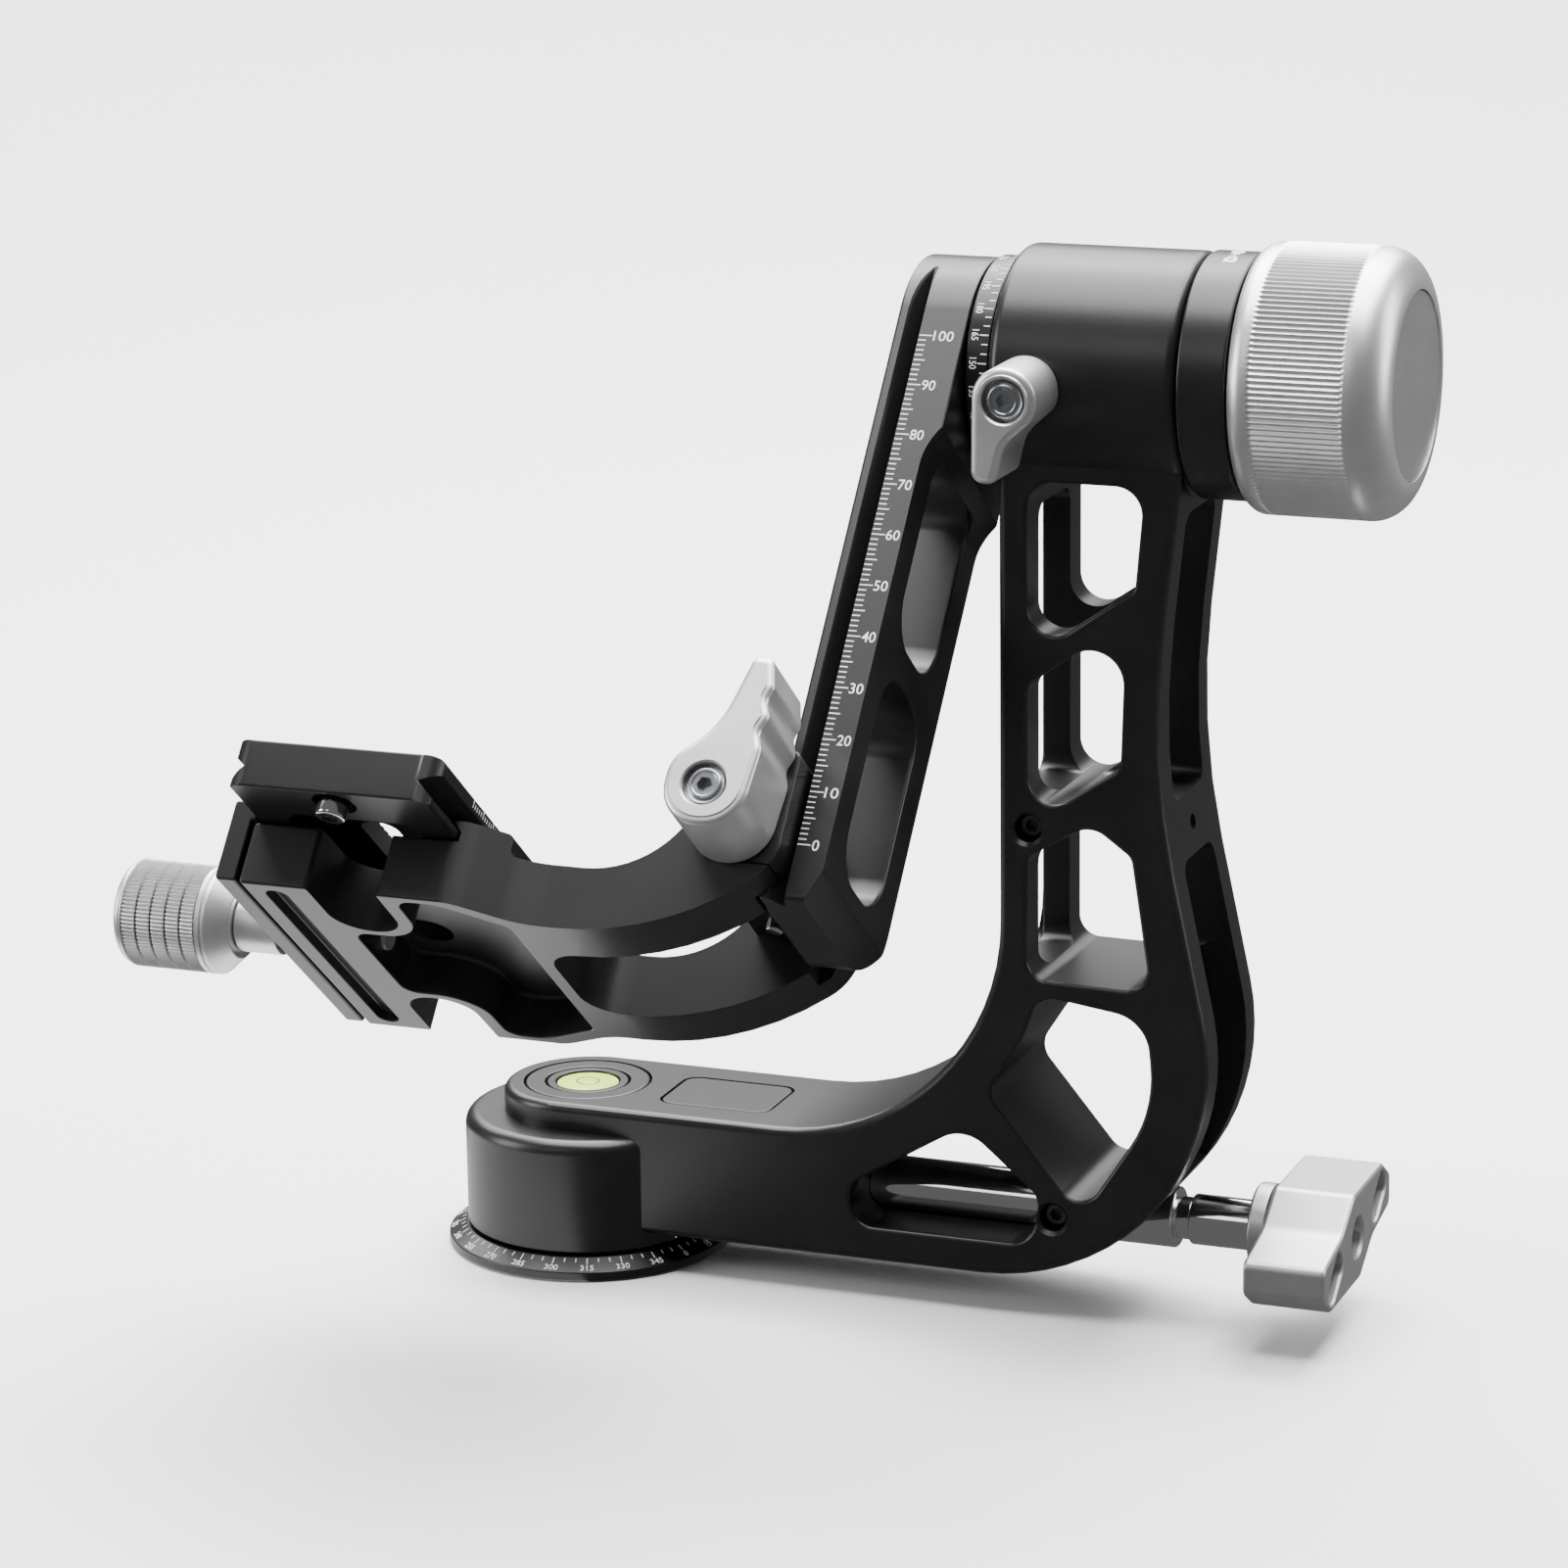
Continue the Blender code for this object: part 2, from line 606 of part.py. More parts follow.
def place(obj, name, finish, parent, pivot=(0.0, 0.0, 0.0), lift=(0.0, 0.0, 0.0)):
    """Name, colour and parent a piece. Its mesh moves so that the origin lies at the pivot."""
    obj.name = name
    obj.data.name = name
    obj.data.transform(Matrix.Translation(-Vector(pivot)))
    obj.data.shade_smooth()
    obj.data.set_sharp_from_angle(angle=SMOOTH_ANGLE)
    obj.data.materials.clear()
    obj.data.materials.append(material(finish))
    obj.parent = parent
    obj.location = Vector(pivot) + Vector(lift)
    return obj


def empty(name, parent, location):
    obj = bpy.data.objects.new(name, None)
    bpy.context.scene.collection.objects.link(obj)
    obj.parent = parent
    obj.location = location
    return obj


def ring_places(radius, count):
    return [radius * polar(FULL_TURN * index / count) for index in range(count)]


def obround(half_width, low, high, centre=0.0):
    """Outline with round ends: half width across u, low and high ends along v."""
    return rounded([(centre - half_width, low, half_width), (centre + half_width, low, half_width),
                    (centre + half_width, high, half_width), (centre - half_width, high, half_width)])


def screw(axis, head_low, head_high, head_radius, radius, shank_end, centre=(0.0, 0.0), hex_radius=0.0,
          hex_deep=0.0):
    """Cap screw with its head between two places, its shank beyond them and a hexagon socket."""
    end, near = (head_high, head_low) if shank_end > head_high else (head_low, head_high)
    profile = [(near, head_radius), (end, head_radius), (end, radius), (shank_end, radius)]
    made = turned(axis, profile, STEPS_SMALL, centre=centre)
    if not hex_radius:
        return made
    obj = new_object("screw", made)
    inward = hex_deep if end > near else -hex_deep
    outward = OVERRUN if end > near else -OVERRUN
    low, high = sorted((near - outward, near + inward))
    return taken(cut(obj, rod(axis, hex_radius, low, high, HEX_SIDES, centre)))


def bearing_outside(shaft_radius):
    return shaft_radius + 3 * GAP + INNER_RING_WALL + 2 * BALL_RADIUS + OUTER_RING_WALL


def inner_ring(axis, start, shaft_radius, centre=(0.0, 0.0)):
    bore = shaft_radius + GAP
    return tube(axis, bore, bore + INNER_RING_WALL, start, start + BEARING_WIDTH, STEPS_MEDIUM, centre)


def outer_ring(axis, start, shaft_radius, centre=(0.0, 0.0)):
    outside = bearing_outside(shaft_radius)
    return tube(axis, outside - OUTER_RING_WALL, outside, start, start + BEARING_WIDTH, STEPS_MEDIUM, centre)


def plain_bush(axis, start, shaft_radius, centre=(0.0, 0.0)):
    return tube(axis, shaft_radius + GAP, bearing_outside(shaft_radius), start, start + BEARING_WIDTH,
                STEPS_MEDIUM, centre)


def ball_cage(axis, start, shaft_radius):
    """Balls of a bearing, held in a thin ring."""
    circle = shaft_radius + 2 * GAP + INNER_RING_WALL + BALL_RADIUS
    middle = start + BEARING_WIDTH / 2
    ring = tube(axis, circle - CAGE_WALL / 2, circle + CAGE_WALL / 2, middle - CAGE_WIDTH / 2,
                middle + CAGE_WIDTH / 2, STEPS_MEDIUM)
    cage = new_object("cage", ring)
    u_axis, v_axis, depth_axis = axis_places(axis)
    balls = bmesh.new()
    for spot in ring_places(circle, BALL_COUNT):
        where = [0.0, 0.0, 0.0]
        where[u_axis] = spot.x
        where[v_axis] = spot.y
        where[depth_axis] = middle
        bmesh.ops.create_uvsphere(balls, u_segments=BALL_SEGMENTS, v_segments=BALL_RINGS, radius=BALL_RADIUS,
                                  matrix=Matrix.Translation(where))
    return join(cage, balls)


def make_base(parent):
    """Disc, insert, spindle and what is fixed to them."""
    flange_bottom = DISC_HEIGHT + GAP
    flange_top = flange_bottom + SPINDLE_FLANGE
    insert_hole = INSERT_RADIUS + GAP
    seat = INSERT_FLANGE + GAP
    disc = turned("Z", [
        (0.0, INSERT_FLANGE_RADIUS + GAP), (0.0, DISC_RADIUS), (DISC_RIM, DISC_RADIUS),
        (DISC_HEIGHT, DISC_TOP_RADIUS), (DISC_HEIGHT, insert_hole), (seat, insert_hole),
        (seat, INSERT_FLANGE_RADIUS + GAP)], STEPS_LARGE, ring=True)
    place(new_object("disc", disc), "base_disc", "black", parent)
    insert = turned("Z", [
        (0.0, INSERT_BORE), (0.0, INSERT_FLANGE_RADIUS), (INSERT_FLANGE, INSERT_FLANGE_RADIUS),
        (INSERT_FLANGE, INSERT_RADIUS), (INSERT_HEIGHT, INSERT_RADIUS), (INSERT_HEIGHT, INSERT_BORE)],
        STEPS_MEDIUM, ring=True)
    place(new_object("insert", insert), "tripod_insert", "steel", parent)
    spindle = turned("Z", [
        (flange_bottom, insert_hole), (flange_bottom, SPINDLE_FLANGE_RADIUS),
        (flange_top, SPINDLE_FLANGE_RADIUS), (flange_top, SPINDLE_RADIUS), (SPINDLE_TOP, SPINDLE_RADIUS),
        (SPINDLE_TOP, SPINDLE_BORE), (INSERT_HEIGHT + GAP, SPINDLE_BORE),
        (INSERT_HEIGHT + GAP, insert_hole)], STEPS_MEDIUM, ring=True)
    place(new_object("spindle", spindle), "pan_spindle", "steel", parent)
    ring = inner_ring("Z", PAN_BEARING_START, SPINDLE_RADIUS)
    place(new_object("ring", ring), "pan_inner_ring", "steel", parent)
    place(ball_cage("Z", PAN_BEARING_START, SPINDLE_RADIUS), "pan_ball_cage", "steel", parent)
    sleeve = tube("Z", SPINDLE_RADIUS + GAP, SPINDLE_RADIUS + GAP + INNER_RING_WALL,
                  PAN_BUSH_START + BEARING_WIDTH + GAP, PAN_BEARING_START - GAP, STEPS_MEDIUM)
    place(new_object("sleeve", sleeve), "pan_brake_sleeve", "steel", parent)
    nut = tube("Z", SPINDLE_RADIUS + GAP, LOCK_NUT_RADIUS, SPINDLE_TOP - LOCK_NUT, SPINDLE_TOP,
               STEPS_MEDIUM)
    place(new_object("nut", nut), "pan_lock_nut", "steel", parent)


def arm_place(share_x, share_z):
    return (ARM_INNER_X + share_x * ARM_DEPTH, share_z * ARM_SPAN)


def elbow_centre():
    """Centre of the arm's outer elbow, where its underside and its leaning flank meet."""
    lean = math.atan2(ELBOW_CORNER_X - WAIST_X, WAIST_Z - ARM_BOTTOM)
    half = (QUARTER_TURN - lean) / 2
    return (ELBOW_CORNER_X - ELBOW_OUTER_RADIUS / math.tan(half), ARM_BOTTOM + ELBOW_OUTER_RADIUS)


def arm_blank():
    """Outside of the arm before its windows: side profile, round end, housing and hub."""
    half = ARM_THICKNESS / 2
    profile = rounded([
        (-ARM_EDGE, ARM_BOTTOM, 0.0), (ELBOW_CORNER_X, ARM_BOTTOM, ELBOW_OUTER_RADIUS),
        (WAIST_X, WAIST_Z, WAIST_RADIUS), (ARM_TOP_X, ARM_TOP_Z, 0.0), (ARM_TOP_X, TILT_HEIGHT, 0.0),
        (ARM_INNER_X, TILT_HEIGHT, 0.0), (ARM_INNER_X, PLATFORM_TOP, ELBOW_INNER_RADIUS),
        (-ARM_EDGE, PLATFORM_TOP, 0.0)])
    arm = new_object("arm", prism("Y", profile, -half, half, ARM_EDGE))
    round_end = [(LOCK_HEIGHT, half)] + round_edge(PLATFORM_TOP, half, ARM_EDGE, 1)
    housing = [(HOUSING_BOTTOM, HOUSING_RADIUS)] + round_edge(HOUSING_TOP, HOUSING_RADIUS, ARM_EDGE, 1)
    hub = round_edge(ARM_INNER_X - HUB_PROUD, HUB_RADIUS, HUB_EDGE, -1) + [(HUB_END_X, HUB_RADIUS)]
    return join(arm, turned("Z", round_end, STEPS_LARGE), turned("Z", housing, STEPS_LARGE),
                turned("X", hub, STEPS_LARGE, centre=(0.0, TILT_HEIGHT)))


def cut_slots(arm):
    """Slots between the side plates, and the pocket in the elbow's back."""
    for low, high in (UPPER_SLOT_SHARES, LOWER_SLOT_SHARES):
        slot = box_outline(-SLOT_HALF_WIDTH, low * ARM_SPAN, SLOT_HALF_WIDTH, high * ARM_SPAN, SLOT_RADIUS)
        cut(arm, prism("X", slot, ARM_INNER_X - ARM_EDGE - OVERRUN, ELBOW_CORNER_X))
    middle = elbow_centre()
    outer = arc(middle, ELBOW_OUTER_RADIUS + ARM_EDGE + OVERRUN, BACK_POCKET_START, BACK_POCKET_END)
    inner = arc(middle, BACK_POCKET_RADIUS, BACK_POCKET_END, BACK_POCKET_START)
    cut(arm, prism("Y", outer + inner, -SLOT_HALF_WIDTH, SLOT_HALF_WIDTH))


def cut_bores(arm):
    """Housing for the pan bearings, pan lock bore, hub bore and the small holes."""
    half = ARM_THICKNESS / 2
    cavity = bearing_outside(SPINDLE_RADIUS) + GAP
    cavity_top = PAN_BEARING_START + BEARING_WIDTH + GAP
    nut_room = LOCK_NUT_RADIUS + LOCK_NUT_ROOM
    cut(arm, turned("Z", [
        (HOUSING_BOTTOM - OVERRUN, cavity), (cavity_top, cavity), (cavity_top, nut_room),
        (SPINDLE_TOP + GAP, nut_room), (SPINDLE_TOP + GAP, CAP_LEDGE_BORE),
        (CAP_BOTTOM - GAP, CAP_LEDGE_BORE), (CAP_BOTTOM - GAP, CAP_RADIUS + GAP),
        (PLATFORM_TOP + OVERRUN, CAP_RADIUS + GAP)], STEPS_MEDIUM))
    lock_axis = (0.0, LOCK_HEIGHT)
    bush_end = LOCK_BUSH_START + LOCK_BUSH_LENGTH + GAP
    cut(arm, rod("X", LOCK_BUSH_RADIUS + GAP, SPINDLE_FLANGE_RADIUS, bush_end, STEPS_MEDIUM, lock_axis),
        rod("X", LOCK_SHAFT_RADIUS + GAP, SPINDLE_FLANGE_RADIUS, ELBOW_CORNER_X, STEPS_MEDIUM, lock_axis))
    shoulder = TILT_BEARING_START - GAP
    neck_room = TILT_NECK_RADIUS + TILT_NECK_ROOM
    hub_bore = bearing_outside(TILT_SHAFT_RADIUS) + GAP
    tilt_axis = (0.0, TILT_HEIGHT)
    cut(arm, turned("X", [
        (ARM_INNER_X - OVERRUN, neck_room), (shoulder, neck_room), (shoulder, hub_bore),
        (HUB_END_X + OVERRUN, hub_bore)], STEPS_MEDIUM, centre=tilt_axis))
    cut(arm, rod("Y", TILT_BUSH_RADIUS + GAP, -HUB_RADIUS - OVERRUN, -TILT_NECK_RADIUS, STEPS_MEDIUM,
                 (TILT_LOCK_X, TILT_HEIGHT)))
    half_length = PLATE_INLAY_LENGTH / 2 + GAP
    half_width = PLATE_INLAY_WIDTH / 2 + GAP
    cut(arm, prism("Z", box_outline(PLATE_INLAY_X - half_length, -half_width, PLATE_INLAY_X + half_length,
                                    half_width, PLATE_INLAY_RADIUS + GAP),
                   PLATFORM_TOP - PLATE_INLAY_THICK - GAP, PLATFORM_TOP + OVERRUN))
    for shares in SET_SCREW_SHARES:
        spot = arm_place(*shares)
        cone_end = SET_SCREW_HOLE + SET_SCREW_CHAMFER + OVERRUN
        cut(arm, rod("Y", SET_SCREW_HOLE, -half - OVERRUN, -half + SET_SCREW_DEEP, STEPS_SMALL, spot),
            turned("Y", [(-half - OVERRUN, cone_end), (-half + SET_SCREW_CHAMFER, SET_SCREW_HOLE)],
                   STEPS_SMALL, centre=spot))


def make_arm(parent):
    """Arm frame and everything fixed to it."""
    half = ARM_THICKNESS / 2
    arm = arm_blank()
    for shares in WINDOW_SHARES:
        corners = [(*arm_place(share_x, share_z), share_r * ARM_DEPTH)
                   for share_x, share_z, share_r in shares]
        cut(arm, prism("Y", rounded(corners), -half - OVERRUN, half + OVERRUN))
    cut_slots(arm)
    cut_bores(arm)
    place(arm, "arm_frame", "black", parent)
    for name, shares in zip(("arm_set_screw_upper", "arm_set_screw_lower"), SET_SCREW_SHARES):
        set_screw = rod("Y", SET_SCREW_RADIUS, -half + SET_SCREW_SUNK, -half + SET_SCREW_DEEP - GAP,
                        STEPS_SMALL, arm_place(*shares))
        place(new_object("set_screw", set_screw), name, "steel", parent)
    make_pan_fittings(parent)
    make_hub_fittings(parent)


def make_pan_fittings(parent):
    """Bearing parts, cap, level, name plate and lock bush in the arm's foot."""
    ring = outer_ring("Z", PAN_BEARING_START, SPINDLE_RADIUS)
    place(new_object("ring", ring), "pan_outer_ring", "steel", parent)
    bush = plain_bush("Z", PAN_BUSH_START, SPINDLE_RADIUS)
    place(new_object("bush", bush), "pan_plain_bush", "brass", parent)
    cap_floor = CAP_BOTTOM + CAP_FLOOR
    cap = turned("Z", [
        (CAP_BOTTOM, 0.0), (CAP_BOTTOM, CAP_RADIUS), (PLATFORM_TOP, CAP_RADIUS),
        (PLATFORM_TOP, LEVEL_RADIUS + GAP), (cap_floor, LEVEL_RADIUS + GAP), (cap_floor, 0.0)], STEPS_MEDIUM)
    place(new_object("cap", cap), "pan_cap", "black", parent)
    cup_bottom = cap_floor + GAP
    cup_floor = cup_bottom + LEVEL_FLOOR
    cup = turned("Z", [
        (cup_bottom, 0.0), (cup_bottom, LEVEL_RADIUS), (PLATFORM_TOP, LEVEL_RADIUS),
        (PLATFORM_TOP, VIAL_RADIUS + GAP), (cup_floor, VIAL_RADIUS + GAP), (cup_floor, 0.0)], STEPS_MEDIUM)
    place(new_object("cup", cup), "level_cup", "silver", parent)
    vial = rod("Z", VIAL_RADIUS, cup_floor + GAP, cup_floor + GAP + VIAL_HEIGHT, STEPS_MEDIUM)
    place(new_object("vial", vial), "level_vial", "level", parent)
    half_length = PLATE_INLAY_LENGTH / 2
    half_width = PLATE_INLAY_WIDTH / 2
    plate = prism("Z", box_outline(PLATE_INLAY_X - half_length, -half_width, PLATE_INLAY_X + half_length,
                                   half_width, PLATE_INLAY_RADIUS),
                  PLATFORM_TOP - PLATE_INLAY_THICK, PLATFORM_TOP)
    place(new_object("plate", plate), "blank_plate", "black", parent)
    bush = tube("X", LOCK_THREAD_RADIUS + GAP, LOCK_BUSH_RADIUS, LOCK_BUSH_START,
                LOCK_BUSH_START + LOCK_BUSH_LENGTH, STEPS_MEDIUM, (0.0, LOCK_HEIGHT))
    place(new_object("bush", bush), "pan_lock_bush", "brass", parent)


def make_hub_fittings(parent):
    """Collar, outer rings, retainer, friction disc and lock bush in the arm's hub."""
    tilt_axis = (0.0, TILT_HEIGHT)
    outside = bearing_outside(TILT_SHAFT_RADIUS)
    ring_bore = outside - OUTER_RING_WALL
    collar_bore = outside + OUTER_RING_WALL / 2
    collar = turned("X", round_edge(COLLAR_START, COLLAR_RADIUS, COLLAR_EDGE, -1)
                    + round_edge(COLLAR_END, COLLAR_RADIUS, COLLAR_EDGE, 1)
                    + [(COLLAR_END, collar_bore), (COLLAR_START, collar_bore)],
                    STEPS_LARGE, ring=True, centre=tilt_axis)
    place(new_object("collar", collar), "hub_collar", "black", parent)
    place(new_object("ring", outer_ring("X", TILT_BEARING_START, TILT_SHAFT_RADIUS, tilt_axis)),
          "tilt_outer_ring", "steel", parent)
    place(new_object("bush", plain_bush("X", TILT_BUSH_START, TILT_SHAFT_RADIUS, tilt_axis)),
          "tilt_plain_bush", "brass", parent)
    retainer_start = TILT_BUSH_START + BEARING_WIDTH + GAP
    retainer = tube("X", ring_bore, outside, retainer_start, retainer_start + TILT_RETAINER, STEPS_MEDIUM,
                    tilt_axis)
    place(new_object("retainer", retainer), "tilt_bearing_retainer", "steel", parent)
    friction = tube("X", FRICTION_DISC_BORE, outside, COLLAR_START + GAP, COLLAR_START + GAP + FRICTION_DISC,
                    STEPS_MEDIUM, tilt_axis)
    place(new_object("friction", friction), "tilt_friction_disc", "lining", parent)
    bush = tube("Y", TILT_STUD_RADIUS + GAP, TILT_BUSH_RADIUS, -TILT_BUSH_OUTER, -TILT_BUSH_INNER,
                STEPS_MEDIUM, (TILT_LOCK_X, TILT_HEIGHT))
    place(new_object("bush", bush), "tilt_lock_bush", "brass", parent)


def make_pan_lock(parent):
    """Shaft, ring, wing knob and brake shoe of the pan lock."""
    lock_axis = (0.0, LOCK_HEIGHT)
    pivot = (0.0, 0.0, LOCK_HEIGHT)
    shaft = turned("X", [
        (LOCK_THREAD_START, LOCK_THREAD_RADIUS), (LOCK_SHAFT_START, LOCK_THREAD_RADIUS),
        (LOCK_SHAFT_START, LOCK_SHAFT_RADIUS), (LOCK_SHAFT_END, LOCK_SHAFT_RADIUS),
        (LOCK_SHAFT_END, LOCK_NECK_RADIUS), (LOCK_NECK_END, LOCK_NECK_RADIUS),
        (LOCK_NECK_END, LOCK_OUTER_RADIUS), (LOCK_OUTER_END, LOCK_OUTER_RADIUS),
        (LOCK_OUTER_END, LOCK_TAIL_RADIUS), (LOCK_TAIL_END, LOCK_TAIL_RADIUS)],
        STEPS_MEDIUM, centre=lock_axis)
    place(new_object("shaft", shaft), "pan_lock_shaft", "chrome", parent, pivot)
    ring_start = LOCK_OUTER_END + GAP
    ring = tube("X", LOCK_TAIL_RADIUS + GAP, LOCK_RING_RADIUS, ring_start,
                ring_start + LOCK_RING_LENGTH - GAP, STEPS_MEDIUM, lock_axis)
    place(new_object("ring", ring), "pan_lock_ring", "silver", parent, pivot)
    corners = [(y * WING_HALF, z * WING_HALF, radius * WING_HALF) for y, z, radius in WING_SHARES]
    knob = new_object("knob", prism("X", rounded(corners), WING_START, WING_END, WING_EDGE))
    hole_u = WING_HOLE_PLACE_SHARES[0] * WING_HALF
    hole_v = WING_HOLE_PLACE_SHARES[1] * WING_HALF
    half_run = WING_HOLE_LENGTH / 2
    for side in (1, -1):
        hole = prism("X", obround(WING_HOLE_RADIUS, -half_run, half_run), WING_END - WING_HOLE_DEPTH,
                     WING_END + OVERRUN)
        hole.transform(Matrix.Translation((0.0, side * hole_u, side * hole_v))
                       @ Matrix.Rotation(QUARTER_TURN + WING_HOLE_TURN, 4, "X"))
        cut(knob, hole)
    cut(knob, rod("X", WING_CENTRE_RADIUS, WING_START - OVERRUN, WING_END + OVERRUN, STEPS_SMALL))
    place(knob, "pan_lock_knob", "silver", parent, lift=pivot)
    shoe_step = SHOE_START + SHOE_NOSE_LENGTH
    shoe = turned("X", [
        (SHOE_START, SHOE_NOSE_RADIUS), (shoe_step, SHOE_NOSE_RADIUS), (shoe_step, SHOE_BODY_RADIUS),
        (shoe_step + SHOE_BODY_LENGTH, SHOE_BODY_RADIUS)], STEPS_SMALL, centre=lock_axis)
    place(new_object("shoe", shoe), "pan_brake_shoe", "brass", parent, pivot)


def drop_outline(hub, hub_radius, tip, tip_radius):
    """Outline of a lever: a large round end, a small one and the tangents between them."""
    run = Vector(tip) - Vector(hub)
    heading = math.atan2(run.y, run.x)
    spread = math.acos((hub_radius - tip_radius) / run.length)
    return (arc(hub, hub_radius, heading + spread, heading + FULL_TURN - spread)
            + arc(tip, tip_radius, heading - spread, heading + spread))


def lever_seat(front):
    """Depths of a lever's screw head: its face and its underside."""
    return (front, front + LEVER_SCREW_HEAD)


def make_tilt_lock(parent):
    """Small lever with its screw and stud, and the brake pad on the tilt spindle."""
    pivot = (TILT_LOCK_X, 0.0, TILT_HEIGHT)
    axis_place = (TILT_LOCK_X, TILT_HEIGHT)
    tip = (TILT_LOCK_X - TILT_LEVER_SHIFT, TILT_HEIGHT - TILT_LEVER_LENGTH)
    lever = new_object("lever", prism("Y", drop_outline(axis_place, TILT_LEVER_HUB, tip, TILT_LEVER_TIP),
                                      -TILT_LEVER_FRONT, -TILT_LEVER_BACK, TILT_LEVER_EDGE))
    head_front, head_back = lever_seat(-TILT_LEVER_FRONT)
    cut(lever, rod("Y", LEVER_SCREW_HEAD_RADIUS + GAP, head_front - OVERRUN, head_back + GAP, STEPS_MEDIUM,
                   axis_place),
        rod("Y", TILT_STUD_RADIUS + GAP, head_front, -TILT_LEVER_BACK + OVERRUN, STEPS_SMALL, axis_place))
    place(lever, "tilt_lock_lever", "silver", parent, pivot)
    screw_head = screw("Y", head_front, head_back, LEVER_SCREW_HEAD_RADIUS, TILT_STUD_RADIUS,
                       head_back + LEVER_SCREW_HEAD / 2, axis_place, LEVER_SCREW_HEX, LEVER_SCREW_HEX_DEEP)
    place(new_object("screw", screw_head), "tilt_lock_screw", "steel", parent, pivot)
    stud = rod("Y", TILT_STUD_RADIUS, head_back + LEVER_SCREW_HEAD / 2 + GAP, -TILT_STUD_INNER, STEPS_SMALL,
               axis_place)
    place(new_object("stud", stud), "tilt_lock_stud", "steel", parent, pivot)
    pad = rod("Y", TILT_STUD_RADIUS, -TILT_PAD_OUTER, -TILT_NECK_RADIUS - GAP, STEPS_SMALL, axis_place)
    place(new_object("pad", pad), "tilt_brake_pad", "brass", parent, pivot)


def rail_section():
    """Half dovetail across the swing arm: wide lip at the back, slopes and straight body."""
    lip_end = RAIL_BACK_X + RAIL_LIP
    body_start = lip_end + RAIL_SLOPE
    half = [(RAIL_BACK_X, RAIL_LIP_HALF), (lip_end, RAIL_LIP_HALF), (body_start, RAIL_BODY_HALF),
            (BOSS_FRONT_X, RAIL_BODY_HALF)]
    return [Vector((x, -y)) for x, y in half] + [Vector((x, y)) for x, y in reversed(half)]


